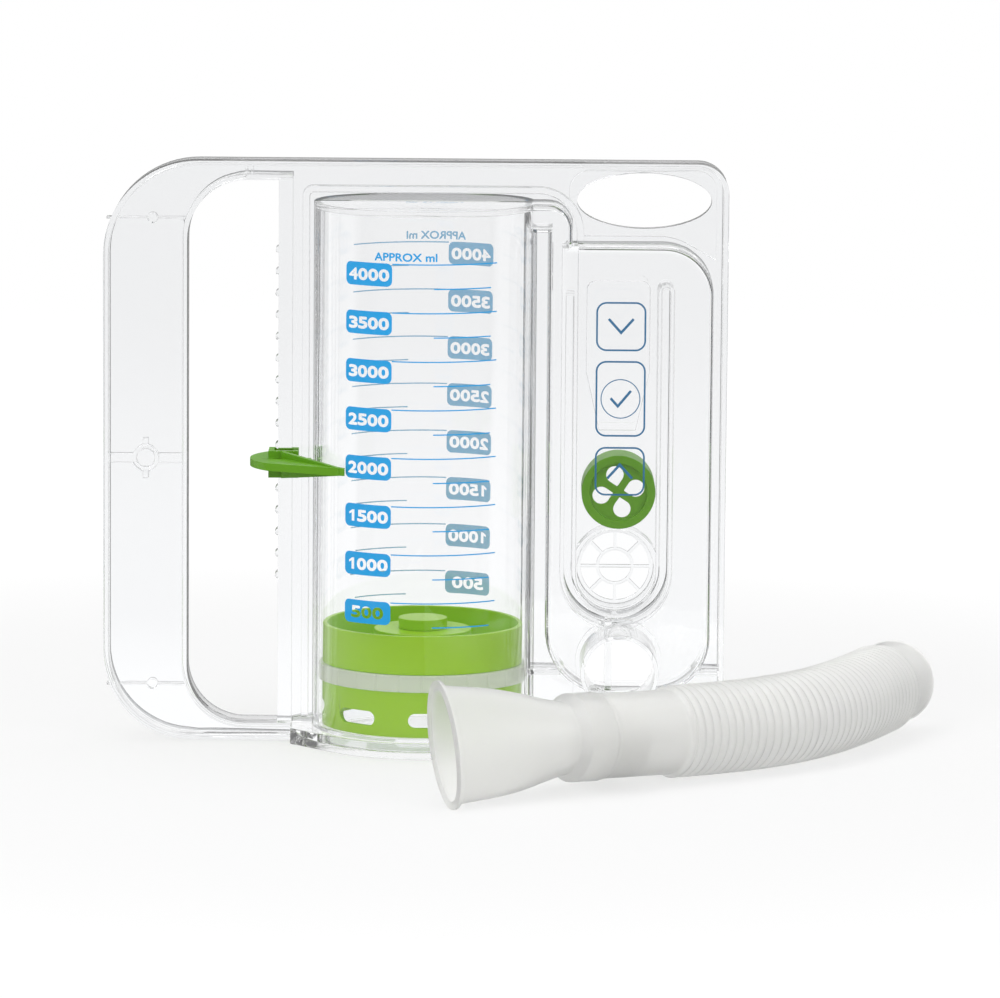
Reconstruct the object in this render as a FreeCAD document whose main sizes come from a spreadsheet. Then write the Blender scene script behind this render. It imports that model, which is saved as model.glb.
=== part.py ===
"""Volumetric incentive spirometer: a clear two-shell housing with a grip, a piston in its tube,
a flow float in a folded track, a sliding goal pointer, a detached breathing hose and its mouthpiece.

Frame: X to the right, Y away from the reader of the scale, Z up, millimetres.
The origin is the axis of the measuring tube at the underside of the base.
"""

import FreeCAD, Part
import math
import os
import Sketcher

# Driving dimensions: alias, value in millimetres (or a count or degrees), what it is

SIZES = [
    ("grip_reach", 111.3, "tube axis to the outer edge of the grip"),
    ("panel_reach", 104.8, "tube axis to the far edge of the panel"),
    ("panel_height", 203.0, "floor to the top edge"),
    ("foot_lift", 0.5, "floor to the lower edge of the shells"),
    ("rim_depth", 8.0, "flange depth each side of the parting plane"),
    ("rim_wall", 1.8, "flange thickness"),
    ("web", 1.3, "panel sheet of one shell"),
    ("grip_width", 29.1, "upright of the grip, outer edge to opening"),
    ("grip_top", 6.5, "top bar of the grip"),
    ("grip_foot", 6.1, "bottom bar of the grip"),
    ("grip_corner_top", 33.0, "outer corner radius, top left"),
    ("grip_corner_foot", 31.0, "outer corner radius, bottom left"),
    ("opening_corner_top", 21.0, "opening corner radius, top left"),
    ("opening_corner_foot", 20.0, "opening corner radius, bottom left"),
    ("panel_corner", 10.5, "outer corner radius, top right"),
    ("heel_corner", 8.0, "outer corner radius, bottom right"),
    ("seam_gap", 0.06, "gap between the two shells along the welded seam"),
    ("rail_offset", 50.8, "tube axis to the guide edge of the rail"),
    ("rail_width", 4.8, "rail width"),
    ("rail_depth", 3.0, "rail half thickness"),
    ("detent_count", 16, "detent ridges on the rail"),
    ("detent_pitch", 7.6, "spacing of the ridges"),
    ("detent_first", 57.9, "height of the lowest ridge"),
    ("detent_radius", 1.2, "ridge radius"),
    ("detent_proud", 1.0, "ridge height"),
    ("tube_bore", 36.3, "measuring tube bore radius"),
    ("tube_wall", 2.2, "measuring tube wall"),
    ("tube_top", 188.9, "closed top of the tube"),
    ("tube_foot", 2.0, "lower end of the tube, in the base groove"),
    ("bead_gap", 1.7, "tube to weld bead"),
    ("bead_width", 2.3, "weld bead width"),
    ("bead_depth", 3.0, "weld bead half thickness"),
    ("bead_top", 194.1, "top of the weld bead"),
    ("bead_corner", 3.5, "weld bead corner, tube side"),
    ("bead_turn", 16.0, "weld bead corner over the air passage"),
    ("duct_gap", 4.0, "tube to air duct"),
    ("duct_margin", 5.0, "air duct to the far edge of the panel"),
    ("duct_floor", 17.8, "underside of the air duct"),
    ("duct_top", 174.6, "top of the air duct"),
    ("duct_depth", 11.0, "duct half depth"),
    ("duct_wall", 1.5, "duct wall"),
    ("duct_edge", 2.4, "rounding of the duct's face"),
    ("duct_corner_near", 22.0, "duct corner, bottom, tube side"),
    ("duct_corner_far", 20.0, "duct corner, bottom, far side"),
    ("duct_corner_top", 17.2, "duct corner, top, far side"),
    ("passage_reach", 50.8, "tube axis to the far side of the air passage"),
    ("passage_floor", 179.0, "underside of the air passage"),
    ("passage_turn", 8.0, "outer corner of the air passage"),
    ("track_axis", 66.85, "tube axis to the axis of the float track"),
    ("track_half", 13.95, "half width of the float track"),
    ("track_centre", 60.2, "height of the track's round bottom centre"),
    ("track_fold", 5.5, "width of the folded track wall"),
    ("fold_sheet", 1.3, "sheet left round the fold"),
    ("fold_top", 158.5, "round upper end of the far fold"),
    ("bypass_half", 10.9, "half width of the hollow that lets air past the raised float"),
    ("bypass_foot_half", 6.3, "half width of its lower end"),
    ("bypass_top", 162.7, "floor to its upper end"),
    ("bypass_bend", 131.0, "floor to where it starts to narrow"),
    ("bypass_foot", 110.8, "floor to its lower end"),
    ("bypass_depth", 0.6, "its depth in the duct's face"),
    ("bypass_round", 3.0, "its upper corner radius"),
    ("septum", 2.4, "wall between the two air ways above the port"),
    ("inlet_bore", 13.4, "air inlet bore radius"),
    ("inlet_ring", 2.0, "wall of the ring that the float rests on"),
    ("port_offset", 68.0, "tube axis to the hose port"),
    ("port_height", 30.0, "floor to the port axis"),
    ("port_radius", 13.45, "hose port outer radius"),
    ("port_wall", 1.45, "hose port wall"),
    ("port_length", 28.0, "hose port length from the duct's face"),
    ("collar_radius", 15.0, "port root collar radius"),
    ("collar_length", 2.0, "port root collar length"),
    ("ledge_height", 24.3, "floor to the stiffening ledge"),
    ("finger_x", 75.6, "tube axis to the finger hole"),
    ("finger_z", 189.7, "floor to the finger hole axis"),
    ("finger_half_width", 23.3, "finger hole half width"),
    ("finger_half_height", 9.6, "finger hole half height"),
    ("plate_rise", 1.2, "finger plate, proud of the panel sheet"),
    ("plate_left", 49.7, "tube axis to the finger plate, over the air passage"),
    ("plate_margin", 2.4, "flange to the finger plate"),
    ("plate_gap", 2.6, "air duct to the finger plate"),
    ("plate_corner", 7.0, "finger plate corner radius"),
    ("plate_bend", 18.5, "far edge of the panel to the bend in the plate's lower edge"),
    ("plate_bend_round", 20.0, "rounding of that bend"),
    ("plate_drop", 8.0, "lower edge of the plate down to its lowest corner"),
    ("form_proud", 1.2, "bosses and ribs of the grip, proud of the panel sheet"),
    ("boss_offset", 96.9, "tube axis to the boss of the grip"),
    ("boss_height", 98.5, "floor to the boss of the grip"),
    ("boss_radius", 4.6, "boss outer radius"),
    ("boss_bore", 3.3, "boss inner radius"),
    ("boss_rib", 1.6, "half height of the ribs beside the boss"),
    ("boss_tab", 0.9, "half width of the tabs over and under the boss"),
    ("boss_tab_reach", 7.0, "boss centre to the end of a tab"),
    ("knot_offset", 94.5, "tube axis to the small bosses of the grip"),
    ("knot_top", 182.5, "floor to the upper small boss"),
    ("knot_foot", 19.0, "floor to the lower small boss"),
    ("knot_radius", 1.8, "small boss radius"),
    ("knot_rib", 0.7, "height of the rib through a small boss"),
    ("bar_rib_offset", 62.0, "tube axis to the first rib of the top bar"),
    ("bar_rib_pitch", 2.0, "spacing of the two ribs of the top bar"),
    ("base_radius", 42.0, "base cap radius"),
    ("base_height", 5.6, "base cap rim height"),
    ("base_floor", 1.8, "base cap floor"),
    ("base_edge", 1.0, "base cap edge rounding"),
    ("tail_reach", 46.0, "base cap tails, from the tube axis"),
    ("tail_half", 12.7, "base cap tail half width"),
    ("flank_x", 28.0, "tube axis to where a tail's flank leaves the disc, along X"),
    ("seat_clearance", 0.1, "gap between parts that seat"),
    ("overlap", 1.0, "depth by which joined forms run into each other"),
    ("sliver", 0.05, "least difference kept between two sizes"),
    ("plug_wall", 2.0, "ring inside the tube that carries the piston"),
    ("plug_height", 6.4, "top of that ring"),
    ("piston_gap", 1.5, "tube bore to piston wall"),
    ("seal_gap", 0.2, "tube bore to seal"),
    ("piston_rest", 6.5, "lower edge of the piston at rest"),
    ("skirt_height", 15.9, "piston skirt"),
    ("seal_height", 5.9, "piston seal"),
    ("cup_height", 13.6, "piston cup"),
    ("piston_wall", 1.6, "piston wall"),
    ("spigot_wall", 1.8, "cup spigot inside the seal"),
    ("seal_ring", 3.1, "seal thickness"),
    ("slot_count", 8, "slots round the skirt"),
    ("slot_length", 15.0, "skirt slot length"),
    ("slot_height", 5.0, "skirt slot height"),
    ("slot_rise", 3.4, "skirt edge to slot"),
    ("slot_turn", 5.0, "turn of the slots from the front, degrees"),
    ("turret_radius", 17.0, "raised middle of the piston"),
    ("turret_drop", 2.4, "cup rim to the turret top"),
    ("skirt_hole", 20.0, "opening in the skirt's web"),
    ("button_radius", 8.5, "valve button radius"),
    ("button_height", 3.8, "valve button height"),
    ("stem_radius", 3.0, "valve stem radius"),
    ("stem_length", 7.0, "valve stem length"),
    ("float_radius", 12.85, "float radius"),
    ("float_length", 16.0, "float length"),
    ("float_rim", 2.9, "float rim, seen from the front"),
    ("float_wall", 1.2, "float skirt wall"),
    ("float_face", 1.4, "float face thickness"),
    ("float_recess", 1.2, "float face, set back from the rim"),
    ("float_seat", 0.3, "float to the ring that it rests on"),
    ("float_shift", 0.7, "float to the side of the track's axis, as it rests"),
    ("petal_turn", 12.0, "turn of the float's holes, degrees"),
    ("petal_orbit", 6.1, "float axis to each hole"),
    ("petal_radius", 3.0, "round end of a float hole"),
    ("petal_tip", 4.2, "hole centre to its pointed end"),
    ("grille_plate", 1.6, "inlet grille thickness"),
    ("grille_rim", 1.3, "inlet grille rim"),
    ("grille_hub", 6.6, "inlet grille hub ring radius"),
    ("grille_bar", 1.0, "inlet grille bar"),
    ("pointer_height", 98.1, "pointer plate mid height at rest"),
    ("pointer_plate", 2.7, "pointer plate thickness"),
    ("clip_height", 9.4, "pointer clip height"),
    ("clip_drop", 0.9, "middle of the plate down to the middle of the clip"),
    ("clip_wall", 2.0, "pointer clip wall"),
    ("clip_gap", 0.3, "pointer clip to rail"),
    ("tab_reach", 60.5, "tube axis to the thumb tab's end"),
    ("tab_rear", 13.0, "thumb tab, rear half width"),
    ("tab_front", 19.0, "thumb tab, front half width"),
    ("tip_x", 27.0, "tube axis to the pointer tip, along X"),
    ("tip_gap", 1.0, "tube to pointer"),
    ("tip_width", 1.6, "width of the pointer's tip"),
    ("tip_round", 0.7, "pointer tip radius"),
    ("gusset_x", 49.0, "tube axis to the root of the pointer's web, along X"),
    ("gusset_y", 6.0, "parting plane to the root of the pointer's web"),
    ("gusset", 1.6, "pointer web thickness"),
    ("hose_bore", 13.5, "hose bore radius"),
    ("cuff_wall", 1.5, "hose cuff wall"),
    ("hose_radius", 15.8, "corrugated hose outer radius"),
    ("fold_count", 13, "folds of the hose, coarser than the real ones"),
    ("fold_depth", 1.3, "depth of a fold"),
    ("fold_half", 1.4, "half width of a fold at its mouth"),
    ("near_cuff", 29.8, "cuff at the mouthpiece"),
    ("far_cuff", 16.0, "cuff for the port"),
    ("spigot_radius", 13.45, "mouthpiece spigot radius"),
    ("spigot_length", 14.0, "mouthpiece spigot length"),
    ("mouth_wall", 1.4, "mouthpiece wall"),
    ("shoulder_length", 10.5, "mouthpiece collar length"),
    ("neck_radius", 12.4, "mouthpiece neck radius"),
    ("neck_at", 13.5, "hose end to the neck"),
    ("mouth_length", 60.6, "hose end to the lip of the mouthpiece"),
    ("horn_a_at", 24.0, "hose end to the first section of the horn"),
    ("horn_a_major", 14.8, "half width there"),
    ("horn_a_minor", 10.6, "half height there"),
    ("horn_b_at", 35.0, "hose end to the second section of the horn"),
    ("horn_b_major", 17.4, "half width there"),
    ("horn_b_minor", 8.9, "half height there"),
    ("horn_c_at", 47.0, "hose end to the third section of the horn"),
    ("horn_c_major", 19.0, "half width there"),
    ("horn_c_minor", 7.9, "half height there"),
    ("mouth_major", 20.4, "half width of the mouth, before the lip"),
    ("mouth_minor", 7.3, "half height of the mouth, before the lip"),
    ("lip_out", 1.4, "lip overhang"),
    ("lip_thick", 1.6, "lip thickness"),
    ("mouth_roll", 20.0, "roll of the mouthpiece from upright, degrees"),
]

# Route of the hose on the floor, from the mouthpiece to the free cuff: X, Y, Z

HOSE_ROUTE = [
    (58.6, -93.2, 18.0),
    (98.0, -66.5, 15.85),
    (128.0, -43.0, 15.85),
    (150.0, -9.0, 15.85),
    (167.0, 35.0, 15.85),
]
ARC_SHARE = 0.45

doc = FreeCAD.newDocument("incentive_spirometer")
sheet = doc.addObject("Spreadsheet::Sheet", "sizes")
sheet.Label = "driving dimensions"
for row, (alias, value, note) in enumerate(SIZES, start=1):
    sheet.set(f"A{row}", note)
    sheet.set(f"B{row}", str(value))
    sheet.setAlias(f"B{row}", alias)
doc.recompute()

NODES = []


def bound(text):
    """The expression with every alias written as a cell of the sheet."""
    words = []
    for word in text.replace("(", " ( ").replace(")", " ) ").split():
        sign = "-" if word.startswith("-") and len(word) > 1 else ""
        bare = word[len(sign):]
        words.append(sign + ("sizes." + bare if bare in ALIASES else bare))
    joined = " ".join(words)
    for function in ("sqrt", "sin", "cos"):
        joined = joined.replace(f"{function} (", f"{function}(")
    return joined


def number(text):
    """The present value of an expression in the sheet's aliases."""
    return float(sheet.evalExpression(bound(text)))


ALIASES = {alias for alias, _, _ in SIZES}


# Sketch helpers: every outline is bound to the sheet by its constraints


def new_body(label):
    body = doc.addObject("PartDesign::Body", label)
    body.Label = label
    NODES.append(body)
    return body


def new_sketch(body, name, role="XZ_Plane", offset=None):
    sketch = body.newObject("Sketcher::SketchObject", name)
    plane = next(item for item in body.Origin.OriginFeatures if item.Role == role)
    sketch.AttachmentSupport = [(plane, "")]
    sketch.MapMode = "FlatFace"
    if offset:
        sketch.setExpression("AttachmentOffset.Base.z", bound(offset))
    return sketch


def bind(sketch, kind, *where, to):
    """Add a dimension whose value is an expression."""
    index = sketch.addConstraint(Sketcher.Constraint(kind, *where, number(to)))
    sketch.setExpression(f"Constraints[{index}]", bound(to))


def place_point(sketch, curve, end, across, up):
    """Fix a point of a curve at a position; None leaves that direction free."""
    if across == "0":
        sketch.addConstraint(Sketcher.Constraint("PointOnObject", curve, end, -2))
    elif across:
        bind(sketch, "DistanceX", -1, 1, curve, end, to=across)
    if up == "0":
        sketch.addConstraint(Sketcher.Constraint("PointOnObject", curve, end, -1))
    elif up:
        bind(sketch, "DistanceY", -1, 1, curve, end, to=up)


def segment(x_a, y_a, x_b, y_b):
    return Part.LineSegment(FreeCAD.Vector(x_a, y_a, 0), FreeCAD.Vector(x_b, y_b, 0))


def arc(x, y, radius, start, end):
    circle = Part.Circle(FreeCAD.Vector(x, y, 0), FreeCAD.Vector(0, 0, 1), radius)
    return Part.ArcOfCircle(circle, math.radians(start), math.radians(end))


def draw_polygon(sketch, corners):
    """A closed outline with straight sides through corners given as expressions."""
    spots = [(number(across), number(up)) for across, up in corners]
    sides = []
    for here, there in zip(spots, spots[1:] + spots[:1]):
        sides.append(sketch.addGeometry(segment(*here, *there)))
    for side, following in zip(sides, sides[1:] + sides[:1]):
        sketch.addConstraint(Sketcher.Constraint("Coincident", side, 2, following, 1))
    for side, (across, up) in zip(sides, corners):
        place_point(sketch, side, 1, across, up)


def draw_round_box(sketch, left, right, low, high, radii):
    """A rectangle with round corners, from the lower left one anticlockwise; None is sharp."""
    x_low, x_high, y_low, y_high = (number(side) for side in (left, right, low, high))
    corners = [(x_low, y_low), (x_high, y_low), (x_high, y_high), (x_low, y_high)]
    heading = [(1, 0), (0, 1), (-1, 0), (0, -1)]
    bends = [number(radius) if radius else 0.0 for radius in radii]
    sides = []
    for turn in range(4):
        (x_a, y_a), (x_b, y_b) = corners[turn], corners[(turn + 1) % 4]
        along, up = heading[turn]
        near, far = bends[turn], bends[(turn + 1) % 4]
        line = segment(x_a + along * near, y_a + up * near, x_b - along * far, y_b - up * far)
        sides.append(sketch.addGeometry(line))
        sketch.addConstraint(Sketcher.Constraint(("Horizontal", "Vertical")[turn % 2], sides[turn]))
    place_point(sketch, sides[0], 1, None, low)
    place_point(sketch, sides[1], 1, right, None)
    place_point(sketch, sides[2], 1, None, high)
    place_point(sketch, sides[3], 1, left, None)
    for turn in range(4):
        before, after = sides[turn - 1], sides[turn]
        if not radii[turn]:
            sketch.addConstraint(Sketcher.Constraint("Coincident", before, 2, after, 1))
            continue
        x, y = corners[turn]
        (in_x, in_y), (out_x, out_y) = heading[turn - 1], heading[turn]
        bend = bends[turn]
        x += bend * (out_x - in_x)
        y += bend * (out_y - in_y)
        curve = sketch.addGeometry(arc(x, y, bend, 180 + 90 * turn, 270 + 90 * turn))
        sketch.addConstraint(Sketcher.Constraint("Tangent", before, 2, curve, 1))
        sketch.addConstraint(Sketcher.Constraint("Tangent", curve, 2, after, 1))
        bind(sketch, "Radius", curve, to=radii[turn])


def draw_outline(sketch, corners):
    """A closed anticlockwise outline of straight sides; a corner is sharp or has a radius."""
    spots = [FreeCAD.Vector(number(across), number(up), 0) for across, up, _ in corners]
    joints = []
    for index, (spot, (_, _, radius)) in enumerate(zip(spots, corners)):
        back = (spots[index - 1] - spot).normalize()
        ahead = (spots[(index + 1) % len(spots)] - spot).normalize()
        half = back.getAngle(ahead) / 2
        bend = number(radius) if radius else 0.0
        reach = bend / math.tan(half)
        middle = spot + (back + ahead).normalize() * bend / math.sin(half)
        joints.append((spot + back * reach, middle, spot + ahead * reach, ahead.cross(back).z > 0))
    sides = []
    for (_, _, leave, _), (enter, _, _, _) in zip(joints, joints[1:] + joints[:1]):
        sides.append(sketch.addGeometry(segment(leave.x, leave.y, enter.x, enter.y)))
    for index, (across, up, radius) in enumerate(corners):
        before, after = sides[index - 1], sides[index]
        if not radius:
            sketch.addConstraint(Sketcher.Constraint("Coincident", before, 2, after, 1))
            place_point(sketch, after, 1, across, up)
            continue
        enter, middle, leave, outward = joints[index]
        first, last = (enter, leave) if outward else (leave, enter)
        angles = [math.degrees(math.atan2(end.y - middle.y, end.x - middle.x)) for end in (first, last)]
        angles[1] += 360 * (angles[1] < angles[0])
        curve = sketch.addGeometry(arc(middle.x, middle.y, number(radius), *angles))
        mark = sketch.addGeometry(Part.Point(spots[index]), True)
        into, out_of = (1, 2) if outward else (2, 1)
        sketch.addConstraint(Sketcher.Constraint("Tangent", before, 2, curve, into))
        sketch.addConstraint(Sketcher.Constraint("Tangent", curve, out_of, after, 1))
        sketch.addConstraint(Sketcher.Constraint("PointOnObject", mark, 1, before))
        sketch.addConstraint(Sketcher.Constraint("PointOnObject", mark, 1, after))
        place_point(sketch, mark, 1, across, up)
        bind(sketch, "Radius", curve, to=radius)


def draw_circle(sketch, across, up, radius):
    middle = FreeCAD.Vector(number(across), number(up), 0)
    ring = sketch.addGeometry(Part.Circle(middle, FreeCAD.Vector(0, 0, 1), number(radius)))
    place_point(sketch, ring, 3, across, up)
    bind(sketch, "Radius", ring, to=radius)


def draw_ellipse(sketch, across, up, half_width, half_height):
    """An ellipse with its long axis across."""
    middle = FreeCAD.Vector(number(across), number(up), 0)
    long_end = middle + FreeCAD.Vector(number(half_width), 0, 0)
    short_end = middle + FreeCAD.Vector(0, number(half_height), 0)
    oval = sketch.addGeometry(Part.Ellipse(long_end, short_end, middle))
    sketch.exposeInternalGeometry(oval)
    long_axis, short_axis = oval + 1, oval + 2
    place_point(sketch, oval, 3, across, up)
    sketch.addConstraint(Sketcher.Constraint("Horizontal", long_axis))
    bind(sketch, "Distance", long_axis, to=f"2 * ( {half_width} )")
    bind(sketch, "Distance", short_axis, to=f"2 * ( {half_height} )")


def draw_half_disc(sketch, radius, front):
    """Half of a disc about the sketch's origin, on the front or the rear side."""
    size = number(radius)
    start = 180 if front else 0
    curve = sketch.addGeometry(arc(0, 0, size, start, start + 180))
    sign = -1 if front else 1
    chord = sketch.addGeometry(segment(-sign * size, 0, sign * size, 0))
    sketch.addConstraint(Sketcher.Constraint("Coincident", curve, 3, -1, 1))
    sketch.addConstraint(Sketcher.Constraint("Coincident", curve, 2, chord, 1))
    sketch.addConstraint(Sketcher.Constraint("Coincident", chord, 2, curve, 1))
    sketch.addConstraint(Sketcher.Constraint("PointOnObject", chord, 1, -1))
    bind(sketch, "Radius", curve, to=radius)


def draw_track_fold(sketch, inset, near_top, far_top):
    """The U of the folded track wall: inner and outer arcs, a square and a round upper end."""
    axis, rise = number("track_axis"), number("track_centre")
    inner = number(f"track_half + {inset}")
    outer = number(f"track_half + track_fold - {inset}")
    left_top, right_top = number(near_top), number(far_top)
    cap = (outer - inner) / 2
    low_outer = sketch.addGeometry(arc(axis, rise, outer, 180, 360))
    low_inner = sketch.addGeometry(arc(axis, rise, inner, 180, 360))
    near_out = sketch.addGeometry(segment(axis - outer, rise, axis - outer, left_top))
    near_lid = sketch.addGeometry(segment(axis - outer, left_top, axis - inner, left_top))
    near_in = sketch.addGeometry(segment(axis - inner, left_top, axis - inner, rise))
    far_in = sketch.addGeometry(segment(axis + inner, rise, axis + inner, right_top))
    far_cap = sketch.addGeometry(arc(axis + inner + cap, right_top, cap, 0, 180))
    far_out = sketch.addGeometry(segment(axis + outer, right_top, axis + outer, rise))
    for upright in (near_out, near_in, far_in, far_out):
        sketch.addConstraint(Sketcher.Constraint("Vertical", upright))
    sketch.addConstraint(Sketcher.Constraint("Horizontal", near_lid))
    sketch.addConstraint(Sketcher.Constraint("Coincident", low_outer, 3, low_inner, 3))
    place_point(sketch, low_outer, 3, "track_axis", "track_centre")
    bind(sketch, "Radius", low_outer, to=f"track_half + track_fold - {inset}")
    bind(sketch, "Radius", low_inner, to=f"track_half + {inset}")
    sketch.addConstraint(Sketcher.Constraint("Tangent", low_outer, 1, near_out, 1))
    sketch.addConstraint(Sketcher.Constraint("Coincident", near_out, 2, near_lid, 1))
    sketch.addConstraint(Sketcher.Constraint("Coincident", near_lid, 2, near_in, 1))
    sketch.addConstraint(Sketcher.Constraint("Tangent", near_in, 2, low_inner, 1))
    sketch.addConstraint(Sketcher.Constraint("Tangent", low_inner, 2, far_in, 1))
    sketch.addConstraint(Sketcher.Constraint("Tangent", far_in, 2, far_cap, 2))
    sketch.addConstraint(Sketcher.Constraint("Tangent", far_cap, 1, far_out, 1))
    sketch.addConstraint(Sketcher.Constraint("Tangent", far_out, 2, low_outer, 2))
    place_point(sketch, near_lid, 1, None, near_top)
    place_point(sketch, far_cap, 3, None, far_top)


# Feature helpers


def solid_of(body):
    doc.recompute()
    return body.Shape


def pad(body, sketch, length, reverse=False):
    feature = body.newObject("PartDesign::Pad", sketch.Name + "_pad")
    feature.Profile = sketch
    feature.Reversed = reverse
    feature.setExpression("Length", bound(length))
    grown = solid_of(body)
    if grown.isNull() or not grown.isValid():
        raise RuntimeError(f"{feature.Name} gave no valid solid")
    return feature


def pocket(body, sketch, length, reverse=False):
    """Cut a pocket and check that it took material away."""
    before = solid_of(body).Volume
    feature = body.newObject("PartDesign::Pocket", sketch.Name + "_pocket")
    feature.Profile = sketch
    feature.Reversed = reverse
    feature.setExpression("Length", bound(length))
    if solid_of(body).Volume >= before:
        raise RuntimeError(f"{feature.Name} cut nothing")
    return feature


def revolve(body, sketch, axis="V_Axis"):
    feature = body.newObject("PartDesign::Revolution", sketch.Name + "_turned")
    feature.Profile = sketch
    feature.ReferenceAxis = (sketch, [axis])
    feature.Angle = 360
    doc.recompute()
    return feature


def edges_where(shape, test):
    """Names of the edges whose middle point and ends pass a test."""
    names = []
    for index, edge in enumerate(shape.Edges, start=1):
        middle = edge.valueAt((edge.FirstParameter + edge.LastParameter) / 2)
        if test(edge, middle):
            names.append(f"Edge{index}")
    return names


def fillet(body, base, names, radius):
    feature = body.newObject("PartDesign::Fillet", base.Name + "_rounded")
    feature.Base = (base, names)
    feature.setExpression("Radius", bound(radius))
    doc.recompute()
    return feature


def pattern(body, kind, name, source, axis, copies, span):
    """A linear or polar pattern of one feature."""
    feature = body.newObject("PartDesign::" + kind, name)
    feature.Originals = [source]
    if kind == "PolarPattern":
        feature.Axis = axis
        feature.Angle = 360
    else:
        feature.Direction = axis
        feature.setExpression("Length", bound(span))
    feature.setExpression("Occurrences", bound(copies))
    body.Tip = feature
    doc.recompute()
    return feature


# Housing shells


def shell_rim(body, front):
    """Panel sheet with the flange round its edge, grip and rail: half of the I section."""
    outward = not front
    outline = new_sketch(body, body.Name + "_outline")
    draw_round_box(outline, "-grip_reach", "panel_reach", "foot_lift", "panel_height",
                   ["grip_corner_foot", "heel_corner", "panel_corner", "grip_corner_top"])
    pad(body, outline, "rim_depth", outward)
    sign = "" if front else "-"
    recess = new_sketch(body, body.Name + "_recess", offset=sign + "web")
    draw_round_box(recess, "rim_wall - grip_reach", "panel_reach - rim_wall",
                   "foot_lift + rim_wall", "panel_height - rim_wall",
                   ["grip_corner_foot - rim_wall", "heel_corner - rim_wall",
                    "panel_corner - rim_wall", "grip_corner_top - rim_wall"])
    pocket(body, recess, "rim_depth", front)
    wall = new_sketch(body, body.Name + "_grip_wall")
    draw_round_box(wall, "grip_width - grip_reach - rim_wall", "rail_width - rail_offset",
                   "foot_lift + grip_foot - rim_wall", "panel_height - grip_top + rim_wall",
                   ["opening_corner_foot + rim_wall", None, None, "opening_corner_top + rim_wall"])
    pad(body, wall, "rim_depth", outward)
    relief = new_sketch(body, body.Name + "_rail_relief", offset=sign + "rail_depth")
    draw_round_box(relief, "-rail_offset", "rail_width - rail_offset + sliver",
                   "foot_lift + grip_foot", "panel_height - grip_top", [None] * 4)
    pocket(body, relief, "rim_depth", front)
    opening = new_sketch(body, body.Name + "_opening")
    draw_round_box(opening, "grip_width - grip_reach", "-rail_offset",
                   "foot_lift + grip_foot", "panel_height - grip_top",
                   ["opening_corner_foot", None, None, "opening_corner_top"])
    pocket(body, opening, "2 * rim_depth", front)


def shell_detents(body, front):
    """Half-round ridges down the guide edge of the rail."""
    ridge = new_sketch(body, body.Name + "_ridge")
    draw_circle(ridge, "detent_radius - detent_proud - rail_offset", "detent_first", "detent_radius")
    first = pad(body, ridge, "rail_depth", not front)
    up = next(item for item in body.Origin.OriginFeatures if item.Role == "Z_Axis")
    pattern(body, "LinearPattern", body.Name + "_ridges", first, (up, [""]),
            "detent_count", "detent_pitch * ( detent_count - 1 )")


def shell_forms(body, front):
    """Weld bead, half tube, air duct and air passage, still solid."""
    outward = not front
    bead = new_sketch(body, body.Name + "_bead")
    side = "tube_bore + tube_wall + bead_gap"
    draw_round_box(bead, f"-( {side} ) - bead_width", "passage_reach + bead_gap + bead_width",
                   "base_height + seat_clearance", "bead_top",
                   [None, None, "bead_turn", "bead_corner"])
    draw_round_box(bead, f"-( {side} )", "passage_reach + bead_gap",
                   "base_height + seat_clearance + bead_width", "bead_top - bead_width",
                   [None, None, "bead_turn - bead_width", "bead_corner - bead_width"])
    pad(body, bead, "bead_depth", outward)
    foot = new_sketch(body, body.Name + "_cap_room")
    draw_round_box(foot, "-tail_reach - seat_clearance", "tail_reach + seat_clearance",
                   "foot_lift - overlap", "base_height + seat_clearance", [None] * 4)
    pocket(body, foot, "2 * rim_depth", front)
    tube = new_sketch(body, body.Name + "_tube", "XY_Plane", "tube_foot")
    draw_half_disc(tube, "tube_bore + tube_wall", front)
    pad(body, tube, "tube_top - tube_foot")
    duct = new_sketch(body, body.Name + "_duct")
    draw_round_box(duct, "tube_bore + tube_wall + duct_gap", "panel_reach - duct_margin",
                   "duct_floor", "duct_top",
                   ["duct_corner_near", "duct_corner_far", "duct_corner_top", None])
    pad(body, duct, "duct_depth", outward)
    passage = new_sketch(body, body.Name + "_passage")
    draw_round_box(passage, "tube_bore - 4 * overlap", "passage_reach", "passage_floor", "tube_top",
                   [None, None, "passage_turn", None])
    pad(body, passage, "duct_depth", outward)
    riser = new_sketch(body, body.Name + "_riser")
    draw_round_box(riser, "tube_bore + tube_wall + duct_gap", "passage_reach",
                   "duct_top - 4 * overlap", "passage_floor + overlap", [None] * 4)
    lobe = pad(body, riser, "duct_depth", outward)
    face = number("duct_depth")
    rim = edges_where(body.Shape, lambda edge, at: abs(abs(at.y) - face) < 0.01
                      and at.x > number("tube_bore + tube_wall"))
    return fillet(body, lobe, rim, "duct_edge")


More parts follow.
